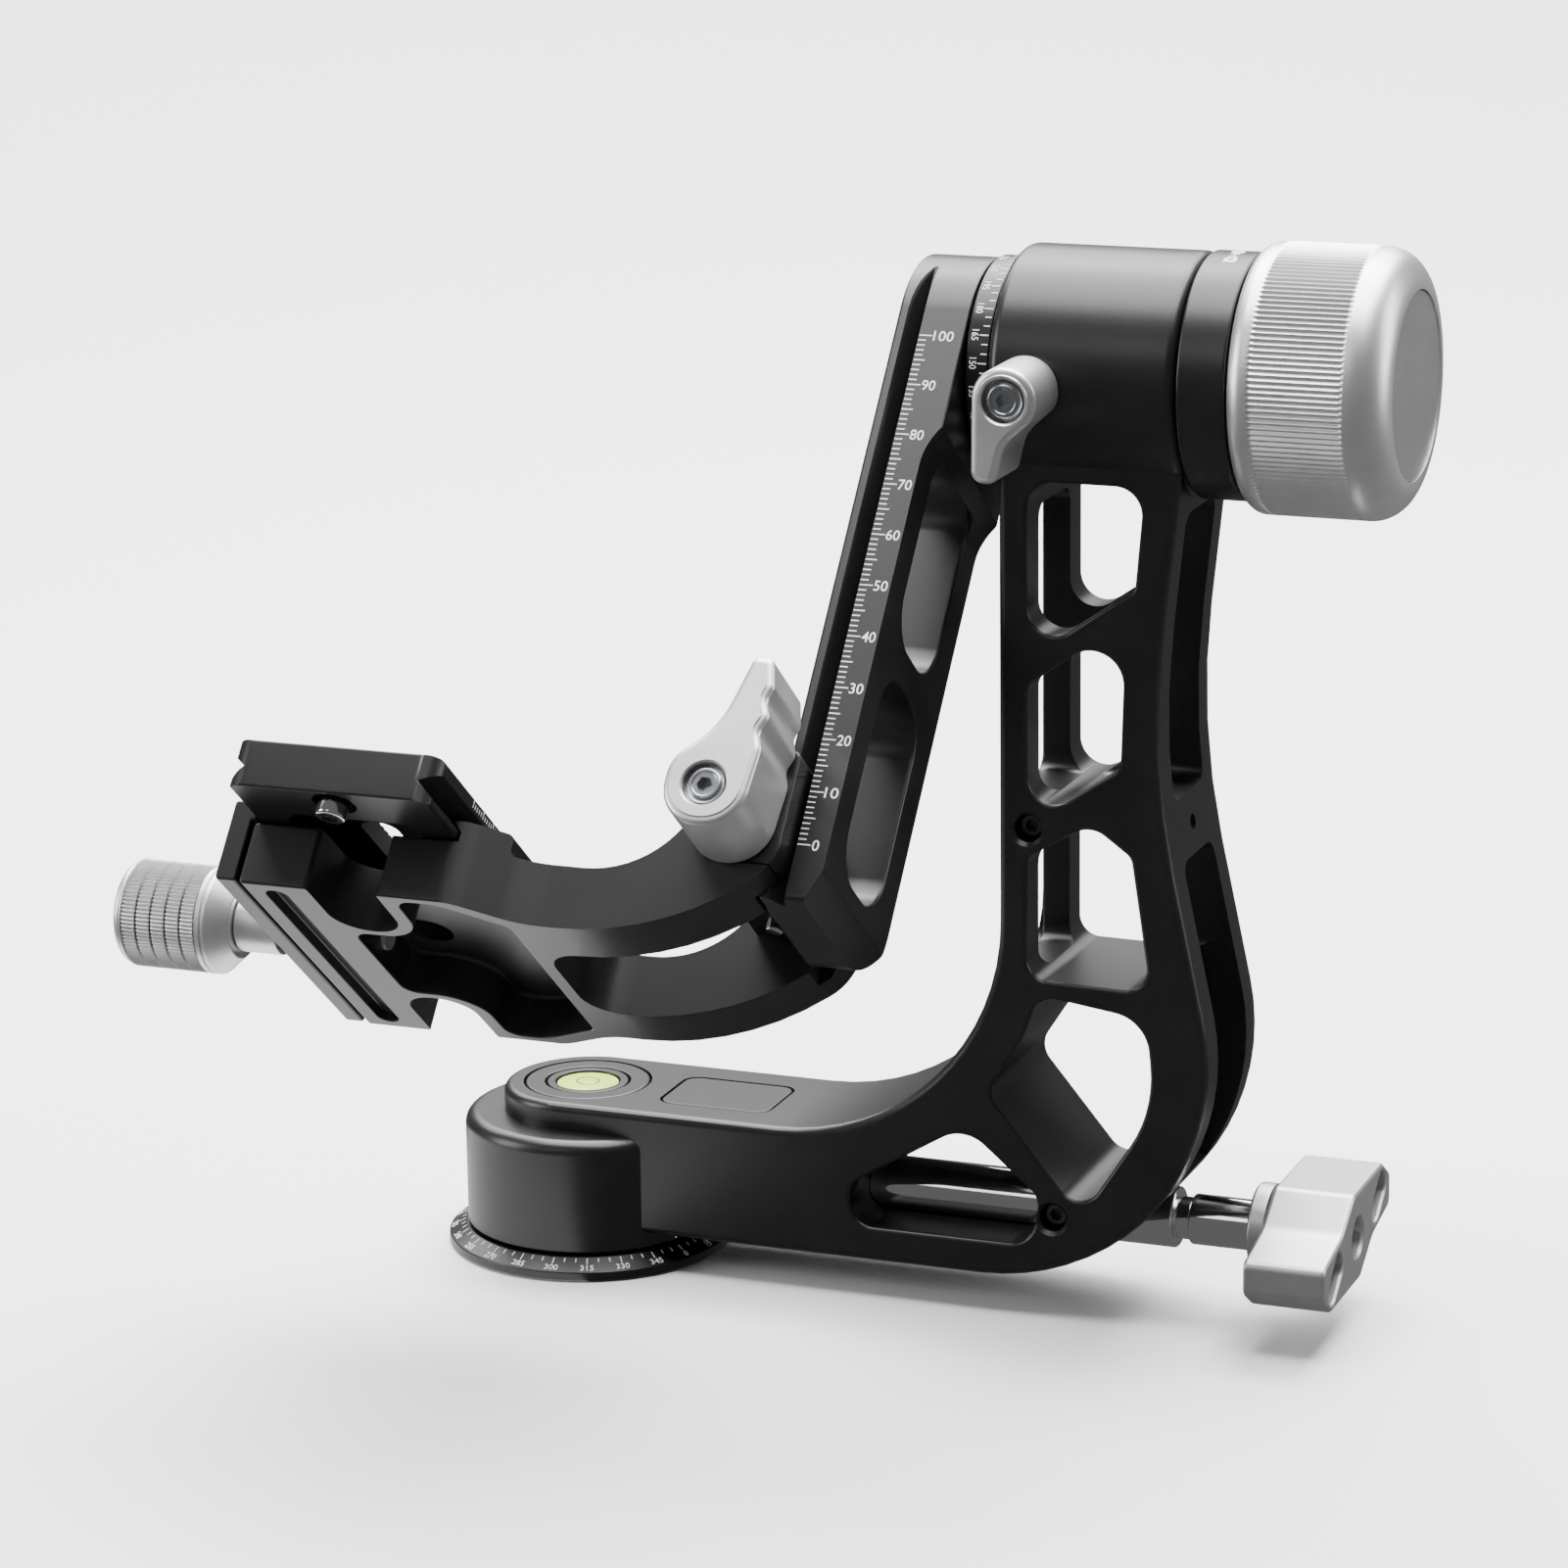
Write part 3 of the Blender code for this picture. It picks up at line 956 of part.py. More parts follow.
def make_rail(parent):
    """Swing arm: dovetail rail with a boss at the tilt axis and two windows."""
    rail = new_object("rail", prism("Z", rail_section(), RAIL_BOTTOM, 0.0))
    step_height = BOSS_STEP - BOSS_STEP_END
    step_depth = BOSS_FRONT_X - RAIL_FRONT_X
    step_radius = (step_height ** 2 + step_depth ** 2) / (2 * step_depth)
    step_turn = math.asin(step_height / step_radius)
    step = arc((RAIL_FRONT_X + step_radius, BOSS_STEP_END), step_radius, math.pi, math.pi - step_turn)
    front = BOSS_FRONT_X + OVERRUN
    bottom = RAIL_BOTTOM - OVERRUN
    relief = [Vector((front, bottom)), Vector((RAIL_FRONT_X - RAIL_CHAMFER - OVERRUN, bottom)),
              Vector((RAIL_FRONT_X, RAIL_BOTTOM + RAIL_CHAMFER))] + step + [Vector((front, BOSS_STEP))]
    cut(rail, prism("Y", relief, -RAIL_LIP_HALF - OVERRUN, RAIL_LIP_HALF + OVERRUN))
    front_shape = rounded([
        (-RAIL_LIP_HALF - OVERRUN, OVERRUN, 0.0), (-RAIL_LIP_HALF - OVERRUN, RAIL_BOTTOM, 0.0),
        (RAIL_LIP_HALF, RAIL_BOTTOM, RAIL_CORNER), (RAIL_LIP_HALF, OVERRUN, 0.0)])
    combine(rail, "INTERSECT", prism("X", front_shape, RAIL_BACK_X - OVERRUN, front))
    boss = [(RAIL_BACK_X, BOSS_RADIUS)] + round_edge(BOSS_FRONT_X, BOSS_RADIUS, RAIL_EDGE, 1)
    join(rail, turned("X", boss, STEPS_LARGE))
    for low, high in (RAIL_WINDOW_UPPER, RAIL_WINDOW_LOWER):
        window = box_outline(-RAIL_WINDOW_HALF, low, RAIL_WINDOW_HALF, high, RAIL_WINDOW_RADIUS)
        cut(rail, prism("X", window, RAIL_BACK_X - OVERRUN, front))
    seat_x = BOSS_FRONT_X - TILT_FLANGE
    cut(rail, rod("X", TILT_FLANGE_RADIUS + GAP, seat_x - GAP, front, STEPS_MEDIUM),
        rod("X", TILT_NECK_RADIUS + GAP, TILT_SPIGOT_START - GAP, seat_x, STEPS_MEDIUM))
    head_end = RAIL_BACK_X + BOSS_SCREW_SUNK + BOSS_SCREW_HEAD
    spindle = new_object("spindle", turned("X", [
        (TILT_SPIGOT_START, TILT_NECK_RADIUS), (seat_x, TILT_NECK_RADIUS), (seat_x, TILT_FLANGE_RADIUS),
        (BOSS_FRONT_X, TILT_FLANGE_RADIUS), (BOSS_FRONT_X, TILT_NECK_RADIUS),
        (TILT_NECK_END, TILT_NECK_RADIUS), (TILT_NECK_END, TILT_SHAFT_RADIUS),
        (TILT_SHAFT_END, TILT_SHAFT_RADIUS), (TILT_SHAFT_END, TILT_THREAD_RADIUS),
        (TILT_THREAD_END, TILT_THREAD_RADIUS)], STEPS_MEDIUM))
    cut(rail, rod("X", BOSS_SCREW_HEAD_RADIUS + GAP, RAIL_BACK_X - OVERRUN, head_end + GAP, STEPS_MEDIUM),
        rod("X", BOSS_SCREW_RADIUS + GAP, head_end, front, STEPS_SMALL))
    cut(spindle, rod("X", BOSS_SCREW_RADIUS + GAP, TILT_SPIGOT_START - OVERRUN, BOSS_SCREW_END + GAP,
                     STEPS_SMALL))
    cut(spindle, rod("X", END_SCREW_RADIUS + GAP, TILT_THREAD_END - END_SCREW_LENGTH - GAP,
                     TILT_THREAD_END + OVERRUN, STEPS_SMALL))
    place(rail, "swing_rail", "black", parent)
    place(spindle, "tilt_spindle", "steel", parent)
    boss_screw = screw("X", head_end - BOSS_SCREW_HEAD, head_end, BOSS_SCREW_HEAD_RADIUS, BOSS_SCREW_RADIUS,
                       BOSS_SCREW_END)
    place(new_object("boss_screw", boss_screw), "boss_screw", "steel", parent)
    ring = turned("X", [(RING_START, TILT_NECK_RADIUS + TILT_NECK_ROOM)]
                  + round_edge(RING_START, RING_RADIUS, RAIL_EDGE, -1)
                  + round_edge(RING_END, RING_RADIUS, RAIL_EDGE, 1)
                  + [(RING_END, TILT_NECK_RADIUS + TILT_NECK_ROOM)], STEPS_LARGE, ring=True)
    place(new_object("ring", ring), "degree_ring", "black", parent)


def make_tilt_stack(parent):
    """Rings, balls, spacer, pressure plate, spring washers and end screw on the tilt spindle."""
    ring = inner_ring("X", TILT_BEARING_START, TILT_SHAFT_RADIUS)
    place(new_object("ring", ring), "tilt_inner_ring", "steel", parent)
    place(ball_cage("X", TILT_BEARING_START, TILT_SHAFT_RADIUS), "tilt_ball_cage", "steel", parent)
    bore = TILT_SHAFT_RADIUS + GAP
    spacer = tube("X", bore, bore + INNER_RING_WALL, TILT_BEARING_START + BEARING_WIDTH + GAP,
                  TILT_BUSH_START - GAP, STEPS_MEDIUM)
    place(new_object("spacer", spacer), "tilt_spacer", "steel", parent)
    plate_start = COLLAR_START + GAP + FRICTION_DISC + GAP
    plate_end = plate_start + PRESSURE_PLATE
    plate = tube("X", bore, PRESSURE_PLATE_RADIUS, plate_start, plate_end, STEPS_MEDIUM)
    place(new_object("plate", plate), "tilt_pressure_plate", "steel", parent)
    washer_start = plate_end + GAP
    washer = turned("X", [
        (washer_start + SPRING_WASHER_RISE, bore), (washer_start, SPRING_WASHER_RADIUS),
        (washer_start + SPRING_WASHER, SPRING_WASHER_RADIUS),
        (washer_start + SPRING_WASHER + SPRING_WASHER_RISE, bore)], STEPS_MEDIUM, ring=True)
    place(new_object("washer", washer), "tilt_spring_washer", "steel", parent)
    end_screw = screw("X", TILT_THREAD_END + GAP, TILT_THREAD_END + GAP + END_SCREW_HEAD,
                      END_SCREW_HEAD_RADIUS, END_SCREW_RADIUS, TILT_THREAD_END - END_SCREW_LENGTH)
    place(new_object("end_screw", end_screw), "tilt_end_screw", "steel", parent)


def make_tilt_knob(parent):
    """Big knob with its inset cap and threaded insert."""
    washer_end = COLLAR_START + FRICTION_DISC + PRESSURE_PLATE + SPRING_WASHER + SPRING_WASHER_RISE + 4 * GAP
    insert_start = washer_end + GAP
    insert_bore = TILT_THREAD_RADIUS + GAP
    core_bore = TILT_SHAFT_RADIUS + GAP + GAP
    cap_start = KNOB_END - KNOB_CAP
    core = [(washer_end, core_bore), (washer_end, KNOB_BOSS_RADIUS), (KNOB_START, KNOB_BOSS_RADIUS)]
    knob = turned("X", core + round_edge(KNOB_START, KNOB_RADIUS, KNOB_INNER_EDGE, -1)
                  + round_edge(KNOB_END, KNOB_RADIUS, KNOB_OUTER_EDGE, 1)
                  + [(KNOB_END, KNOB_CAP_RADIUS + GAP), (cap_start - GAP, KNOB_CAP_RADIUS + GAP),
                     (cap_start - GAP, KNOB_HOLLOW_RADIUS), (KNOB_INSERT_END + GAP, KNOB_HOLLOW_RADIUS),
                     (KNOB_INSERT_END + GAP, core_bore)], STEPS_LARGE, ring=True)
    place(new_object("knob", knob), "tilt_knob", "silver", parent)
    insert = tube("X", insert_bore, KNOB_INSERT_RADIUS, insert_start, KNOB_INSERT_END, STEPS_MEDIUM)
    place(new_object("insert", insert), "tilt_knob_insert", "brass", parent)
    cap = rod("X", KNOB_CAP_RADIUS, cap_start, KNOB_END - GAP, STEPS_LARGE)
    place(new_object("cap", cap), "tilt_knob_cap", "silver", parent)


def dovetail_slope():
    """Heights of the plate's dovetail foot, groove and flange."""
    foot_top = PLATE_BOTTOM + DOVETAIL_FOOT
    return foot_top, foot_top + DOVETAIL_DEEP, foot_top + 2 * DOVETAIL_DEEP


def cradle_profile():
    """Side outline of the J-shaped bracket with its fixed jaw."""
    foot_top = dovetail_slope()[0]
    foot_x = DOVETAIL_HALF + JAW_CLEAR
    tip_x = foot_x - (JAW_TOP - foot_top)
    return rounded([
        (CLAMP_LEFT_X, CRADLE_BOTTOM, CRADLE_EDGE_RADIUS),
        (CRADLE_CORNER_X, CRADLE_BOTTOM, CRADLE_CORNER_RADIUS),
        (CRADLE_RIGHT_X, CRADLE_RIGHT_Z, CRADLE_RIGHT_RADIUS),
        (CRADLE_RIGHT_X, CRADLE_TOP, CRADLE_EDGE_RADIUS), (CRADLE_INNER_X, CRADLE_TOP, CRADLE_EDGE_RADIUS),
        (CRADLE_INNER_X, CRADLE_SEAT, CRADLE_INNER_RADIUS),
        (FIXED_JAW_RIGHT, CRADLE_SEAT, CRADLE_EDGE_RADIUS), (FIXED_JAW_RIGHT, JAW_TOP, CRADLE_EDGE_RADIUS),
        (tip_x, JAW_TOP, 0.0), (foot_x, foot_top, 0.0), (foot_x, CRADLE_SEAT, 0.0),
        (CLAMP_LEFT_X, CRADLE_SEAT, 0.0)])


def mirrored(corners):
    """Corners (u, v, radius) followed by their mirror image across v = 0."""
    return corners + [(u, -v, radius) for u, v, radius in reversed(corners)]


def make_cradle(parent):
    """J-shaped bracket that slides on the rail and carries the plate clamp."""
    low = CRADLE_BOTTOM - OVERRUN
    high = CRADLE_TOP + OVERRUN
    bracket = new_object("bracket", prism("Y", cradle_profile(), -CLAMP_HALF_LENGTH, CLAMP_HALF_LENGTH))
    plan = mirrored([
        (CLAMP_LEFT_X - OVERRUN, CLAMP_HALF_LENGTH + OVERRUN, 0.0),
        (NOTCH_LEFT, CLAMP_HALF_LENGTH + OVERRUN, 0.0), (NOTCH_LEFT, NOTCH_DEEP, NOTCH_LEFT_RADIUS),
        (NOTCH_RIGHT, NOTCH_DEEP, NOTCH_RIGHT_RADIUS), (NOTCH_RIGHT, CLAMP_HALF_LENGTH + OVERRUN, 0.0),
        (SHOULDER_START, CLAMP_HALF_LENGTH + OVERRUN, 0.0),
        (SHOULDER_START, CLAMP_HALF_LENGTH, SHOULDER_RADIUS),
        (SHOULDER_END, CRADLE_HALF_WIDTH, SHOULDER_RADIUS),
        (CRADLE_RIGHT_X + OVERRUN, CRADLE_HALF_WIDTH, 0.0)])
    combine(bracket, "INTERSECT", prism("Z", rounded(plan), low, high))
    pocket = mirrored([
        (NOTCH_LEFT + WALL, NOTCH_DEEP - WALL, 0.0), (NOTCH_RIGHT + WALL, NOTCH_DEEP - WALL, 0.0),
        (NOTCH_RIGHT + WALL, CLAMP_HALF_LENGTH - WALL, 0.0), (SHOULDER_START, CLAMP_HALF_LENGTH - WALL, 0.0),
        (POCKET_RIGHT, CRADLE_HALF_WIDTH - WALL, 0.0)])
    cut(bracket, prism("Z", rounded(pocket), low, POCKET_TOP))
    groove_half = GROOVE_WIDTH / 2
    groove = obround(groove_half, -GROOVE_HALF_LENGTH, GROOVE_HALF_LENGTH, GROOVE_LEFT + groove_half)
    cut(bracket, prism("Z", groove, low, CRADLE_BOTTOM + GROOVE_DEEP))
    window = box_outline(CRADLE_WINDOW_LEFT, -CRADLE_WINDOW_HALF, CRADLE_WINDOW_RIGHT, CRADLE_WINDOW_HALF,
                         CRADLE_WINDOW_RADIUS)
    cut(bracket, prism("Z", window, low, CRADLE_TOP - CRADLE_EDGE_RADIUS))
    cut(bracket, prism("Z", inset(anticlockwise(rail_section()), -GAP), low, high))
    recess = box_outline(RAIL_JAW_LEFT - GAP, -CRADLE_HALF_WIDTH - OVERRUN, CRADLE_RIGHT_X + OVERRUN,
                         -RAIL_JAW_BEHIND + GAP)
    cut(bracket, prism("Z", recess, RAIL_JAW_BOTTOM - GAP, high))
    bolt_axis = (RAIL_LEVER_X, RAIL_LEVER_Z)
    seat = CRADLE_HALF_WIDTH - DRAW_BOLT_SUNK - DRAW_BOLT_HEAD
    cut(bracket, rod("Y", DRAW_BOLT_RADIUS + GAP, -CRADLE_HALF_WIDTH, CRADLE_HALF_WIDTH, STEPS_SMALL,
                     bolt_axis),
        rod("Y", DRAW_BOLT_HEAD_RADIUS + GAP, seat - RAIL_JAW_TRAVEL - GAP, CRADLE_HALF_WIDTH + OVERRUN,
            STEPS_SMALL, bolt_axis))
    cut(bracket, rod("X", CLAMP_STUD_RADIUS + GAP, CLAMP_LEFT_X - OVERRUN, NOTCH_LEFT + WALL + OVERRUN,
                     STEPS_SMALL, (0.0, CLAMP_AXIS_Z)))
    for side in (-1, 1):
        cut(bracket, rod("X", JAW_PIN_RADIUS + GAP, CLAMP_LEFT_X - OVERRUN, JAW_PIN_END + GAP, STEPS_SMALL,
                         (side * JAW_PIN_PLACE, CLAMP_AXIS_Z)))
    place(bracket, "cradle_bracket", "black", parent)


def make_rail_clamp(parent):
    """Front jaw on the rail, its draw bolt, lever and lever screw."""
    jaw = new_object("jaw", prism("Y", cradle_profile(), -CRADLE_HALF_WIDTH, -RAIL_JAW_BEHIND))
    keep = box_outline(RAIL_JAW_LEFT, -CRADLE_HALF_WIDTH - OVERRUN, CRADLE_RIGHT_X + OVERRUN, 0.0)
    combine(jaw, "INTERSECT", prism("Z", keep, RAIL_JAW_BOTTOM, CRADLE_TOP + OVERRUN))
    cut(jaw, prism("Z", inset(anticlockwise(rail_section()), -GAP), CRADLE_BOTTOM, CRADLE_TOP + OVERRUN))
    bolt_axis = (RAIL_LEVER_X, RAIL_LEVER_Z)
    head_front, head_back = lever_seat(-RAIL_LEVER_FRONT)
    cut(jaw, rod("Y", DRAW_BOLT_RADIUS + GAP, -CRADLE_HALF_WIDTH - OVERRUN, 0.0, STEPS_SMALL, bolt_axis))
    place(jaw, "rail_jaw", "black", parent)
    bolt_front = head_back + LEVER_SCREW_HEAD / 2 + GAP
    head_low = CRADLE_HALF_WIDTH - DRAW_BOLT_SUNK - DRAW_BOLT_HEAD
    bolt = screw("Y", head_low, CRADLE_HALF_WIDTH - DRAW_BOLT_SUNK, DRAW_BOLT_HEAD_RADIUS, DRAW_BOLT_RADIUS,
                 bolt_front, bolt_axis)
    place(new_object("bolt", bolt), "rail_draw_bolt", "steel", parent)
    pivot = (RAIL_LEVER_X, 0.0, RAIL_LEVER_Z)
    tip = (RAIL_LEVER_X + RAIL_LEVER_SHIFT, RAIL_LEVER_Z + RAIL_LEVER_LENGTH)
    back = -CRADLE_HALF_WIDTH - GAP
    lever = new_object("lever", prism("Y", drop_outline(bolt_axis, RAIL_LEVER_HUB, tip, RAIL_LEVER_TIP),
                                      -RAIL_LEVER_FRONT, back, RAIL_LEVER_EDGE))
    cut(lever, rod("Y", LEVER_SCREW_HEAD_RADIUS + GAP, head_front - OVERRUN, head_back + GAP, STEPS_MEDIUM,
                   bolt_axis),
        rod("Y", DRAW_BOLT_RADIUS + GAP, head_front, back + OVERRUN, STEPS_SMALL, bolt_axis))
    place(lever, "rail_clamp_lever", "silver", parent, pivot)
    lever_screw = screw("Y", head_front, head_back, LEVER_SCREW_HEAD_RADIUS, DRAW_BOLT_RADIUS,
                        head_back + LEVER_SCREW_HEAD / 2, bolt_axis, LEVER_SCREW_HEX, LEVER_SCREW_HEX_DEEP)
    place(new_object("screw", lever_screw), "rail_lever_screw", "steel", parent, pivot)


def make_plate_clamp(parent):
    """Movable jaw, its guide pins, the clamp knob and its stud."""
    foot_top = dovetail_slope()[0]
    foot_x = DOVETAIL_HALF + JAW_CLEAR
    tip_x = foot_x - (JAW_TOP - foot_top)
    right = -CLAMP_LEFT_X + PLATE_JAW_GAP
    left = right + PLATE_JAW_THICK
    outline = [Vector((-x, z)) for x, z in (
        (left, CRADLE_BOTTOM + GAP), (right, CRADLE_BOTTOM + GAP), (right, PLATE_BOTTOM),
        (foot_x, PLATE_BOTTOM + GAP), (foot_x, foot_top), (tip_x, JAW_TOP), (left, JAW_TOP))]
    jaw = new_object("jaw", prism("Y", outline, -CLAMP_HALF_LENGTH, CLAMP_HALF_LENGTH, GAP))
    cut(jaw, rod("X", CLAMP_STUD_RADIUS + GAP, -left - OVERRUN, -right + OVERRUN, STEPS_SMALL,
                 (0.0, CLAMP_AXIS_Z)))
    for name, side in (("jaw_guide_pin_front", -1), ("jaw_guide_pin_rear", 1)):
        spot = (side * JAW_PIN_PLACE, CLAMP_AXIS_Z)
        cut(jaw, rod("X", JAW_PIN_RADIUS + GAP, -left - OVERRUN, -right + OVERRUN, STEPS_SMALL, spot))
        pin = rod("X", JAW_PIN_RADIUS, -left + GAP, JAW_PIN_END, STEPS_SMALL, spot)
        place(new_object("pin", pin), name, "steel", parent)
    place(jaw, "plate_jaw", "black", parent)
    pivot = (0.0, 0.0, CLAMP_AXIS_Z)
    stem_start = CLAMP_KNOB_RIGHT + GAP
    stud_start = CLAMP_KNOB_LEFT + CLAMP_KNOB_RADIUS
    stud = turned("X", [
        (stud_start, CLAMP_STUD_RADIUS), (stem_start, CLAMP_STUD_RADIUS), (stem_start, CLAMP_STEM_RADIUS),
        (-left - GAP, CLAMP_STEM_RADIUS), (-left - GAP, CLAMP_STUD_RADIUS),
        (CLAMP_STUD_END, CLAMP_STUD_RADIUS)], STEPS_MEDIUM, centre=(0.0, CLAMP_AXIS_Z))
    place(new_object("stud", stud), "clamp_stud", "silver", parent, pivot)
    knob = turned("X", round_edge(CLAMP_KNOB_LEFT, CLAMP_KNOB_RADIUS, CLAMP_KNOB_EDGE, -1)
                  + [(CLAMP_KNOB_RIGHT - CLAMP_KNOB_CONE, CLAMP_KNOB_RADIUS),
                     (CLAMP_KNOB_RIGHT, CLAMP_CONE_RADIUS), (CLAMP_KNOB_RIGHT, CLAMP_STUD_RADIUS + GAP),
                     (stud_start - GAP, CLAMP_STUD_RADIUS + GAP), (stud_start - GAP, 0.0)],
                  STEPS_LARGE, centre=(0.0, CLAMP_AXIS_Z))
    place(new_object("knob", knob), "clamp_knob", "silver", parent, pivot)


def make_release_plate(parent):
    """Quick release plate with pads, stop screws and the camera screw."""
    foot_top, groove, flange = dovetail_slope()
    groove_x = DOVETAIL_HALF - DOVETAIL_DEEP
    half = [(DOVETAIL_HALF, PLATE_BOTTOM), (DOVETAIL_HALF, foot_top), (groove_x, groove),
            (PLATE_FLANGE_HALF, flange), (PLATE_FLANGE_HALF, PLATE_TOP)]
    section = [Vector((x, z)) for x, z in half] + [Vector((-x, z)) for x, z in reversed(half)]
    run = PLATE_HALF_LENGTH + OVERRUN
    plate = new_object("plate", prism("Y", section, -run, run))
    low = PLATE_BOTTOM - OVERRUN
    high = PLATE_TOP + OVERRUN
    side = PLATE_FLANGE_HALF + NEAR
    ends = box_outline(-side, -PLATE_HALF_LENGTH, side, PLATE_HALF_LENGTH, PLATE_CORNER)
    combine(plate, "INTERSECT", prism("Z", ends, low, high))
    recess_top = PLATE_BOTTOM + PLATE_RECESS_DEEP
    cut(plate, prism("Z", box_outline(-PLATE_RECESS_HALF, -PLATE_RECESS_HALF_LENGTH, PLATE_RECESS_HALF,
                                      PLATE_RECESS_HALF_LENGTH, PLATE_CORNER), low, recess_top),
        prism("Z", obround(PLATE_SLOT_HALF, -PLATE_SLOT_HALF_LENGTH, PLATE_SLOT_HALF_LENGTH), low, high))
    stop_low = PLATE_BOTTOM - STOP_SCREW_PROUD
    stop_high = stop_low + STOP_SCREW_HEAD
    for name, side in (("plate_stop_screw_front", -1), ("plate_stop_screw_rear", 1)):
        spot = (0.0, side * STOP_SCREW_PLACE)
        cut(plate, rod("Z", STOP_SCREW_NOTCH, low, stop_high + GAP, STEPS_SMALL, spot),
            rod("Z", STOP_SCREW_RADIUS + GAP, low, stop_high + STOP_SCREW_LENGTH + GAP, STEPS_SMALL, spot))
        stop_screw = screw("Z", stop_low, stop_high, STOP_SCREW_HEAD_RADIUS, STOP_SCREW_RADIUS,
                           stop_high + STOP_SCREW_LENGTH, spot, LEVER_SCREW_HEX, LEVER_SCREW_HEX_DEEP)
        place(new_object("screw", stop_screw), name, "steel", parent)
    pad_low = PLATE_TOP + PAD_PROUD - PAD_THICK
    pad_high = PLATE_TOP + PAD_PROUD
    slot_half = PLATE_SLOT_HALF + PAD_SLOT_MARGIN
    slot_run = PLATE_SLOT_HALF_LENGTH + PAD_SLOT_MARGIN
    pad_outline = box_outline(-PAD_HALF_WIDTH, -PAD_HALF_LENGTH, PAD_HALF_WIDTH, PAD_HALF_LENGTH,
                              PLATE_CORNER)
    pad = new_object("pad", prism("Z", pad_outline, pad_low, pad_high))
    cut(pad, prism("Z", obround(slot_half, -slot_run, slot_run), low, high))
    bed = new_object("bed", prism("Z", box_outline(
        -PAD_HALF_WIDTH - GAP, -PAD_HALF_LENGTH - GAP, PAD_HALF_WIDTH + GAP, PAD_HALF_LENGTH + GAP,
        PLATE_CORNER + GAP), pad_low - GAP, high))
    cut(bed, prism("Z", obround(slot_half - GAP, -slot_run + GAP, slot_run - GAP), low, high + OVERRUN))
    cut(plate, taken(bed))
    place(plate, "release_plate", "black", parent)
    place(pad, "plate_pad", "rubber", parent)
    head_top = recess_top - GAP
    camera_screw = new_object("screw", screw(
        "Z", head_top - CAMERA_SCREW_HEAD, head_top, CAMERA_SCREW_HEAD_RADIUS, CAMERA_SCREW_RADIUS,
        CAMERA_SCREW_TOP))
    coin_run = CAMERA_SCREW_HEAD_RADIUS + OVERRUN
    coin = box_outline(-coin_run, -CAMERA_SCREW_COIN, coin_run, CAMERA_SCREW_COIN)
    slot_low = head_top - CAMERA_SCREW_HEAD
    cut(camera_screw, prism("Z", coin, slot_low - OVERRUN, slot_low + CAMERA_SCREW_HEAD / 2))
    place(camera_screw, "camera_screw", "steel", parent)


def main():
    clear_scene()
    pan = empty("pan_axis", None, (0.0, 0.0, 0.0))
    tilt = empty("tilt_axis", pan, (0.0, 0.0, TILT_HEIGHT))
    tilt.rotation_euler.x = -SWING_ANGLE
    carriage = empty("cradle_carriage", tilt, (0.0, 0.0, 0.0))
    make_base(None)
    make_arm(pan)
    make_pan_lock(pan)
    make_tilt_lock(pan)
    make_rail(tilt)
    make_tilt_stack(tilt)
    make_tilt_knob(tilt)
    make_cradle(carriage)
    make_rail_clamp(carriage)
    make_plate_clamp(carriage)
    make_release_plate(carriage)


main()
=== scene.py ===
import math

import bmesh
import bpy
import numpy as np
from mathutils import Matrix


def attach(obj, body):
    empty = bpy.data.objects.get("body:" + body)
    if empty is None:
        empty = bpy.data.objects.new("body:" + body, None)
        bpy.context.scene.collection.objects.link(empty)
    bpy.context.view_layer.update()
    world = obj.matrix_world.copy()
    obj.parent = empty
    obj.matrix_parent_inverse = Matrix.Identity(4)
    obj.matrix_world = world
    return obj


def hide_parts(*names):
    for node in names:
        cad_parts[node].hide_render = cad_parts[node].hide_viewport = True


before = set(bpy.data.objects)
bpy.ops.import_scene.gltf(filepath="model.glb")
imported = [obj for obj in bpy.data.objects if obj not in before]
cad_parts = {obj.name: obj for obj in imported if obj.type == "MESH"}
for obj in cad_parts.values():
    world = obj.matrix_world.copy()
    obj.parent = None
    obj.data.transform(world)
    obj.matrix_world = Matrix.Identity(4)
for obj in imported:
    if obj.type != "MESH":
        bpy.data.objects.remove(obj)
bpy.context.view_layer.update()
print("stage: frame loaded,", len(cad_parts), "nodes")

mm = 0.001
fullTurn = 2 * math.pi
quarterTurn = math.pi / 2
placesOfAxis = {"X": (1, 2, 0), "Y": (0, 2, 1), "Z": (0, 1, 2)}
swing = {"tilt": math.radians(39.2), "height": 176.3, "notIn": ("base", "arm", "pan_lock", "tilt_lock")}
shading = {"sharpAngle": math.radians(32), "arcStep": math.radians(6), "fewestPoints": 3, "rimSteps": 4,
           "nearlyStraight": 1e-3, "samePoint": 1e-4, "overshoot": 1.0}
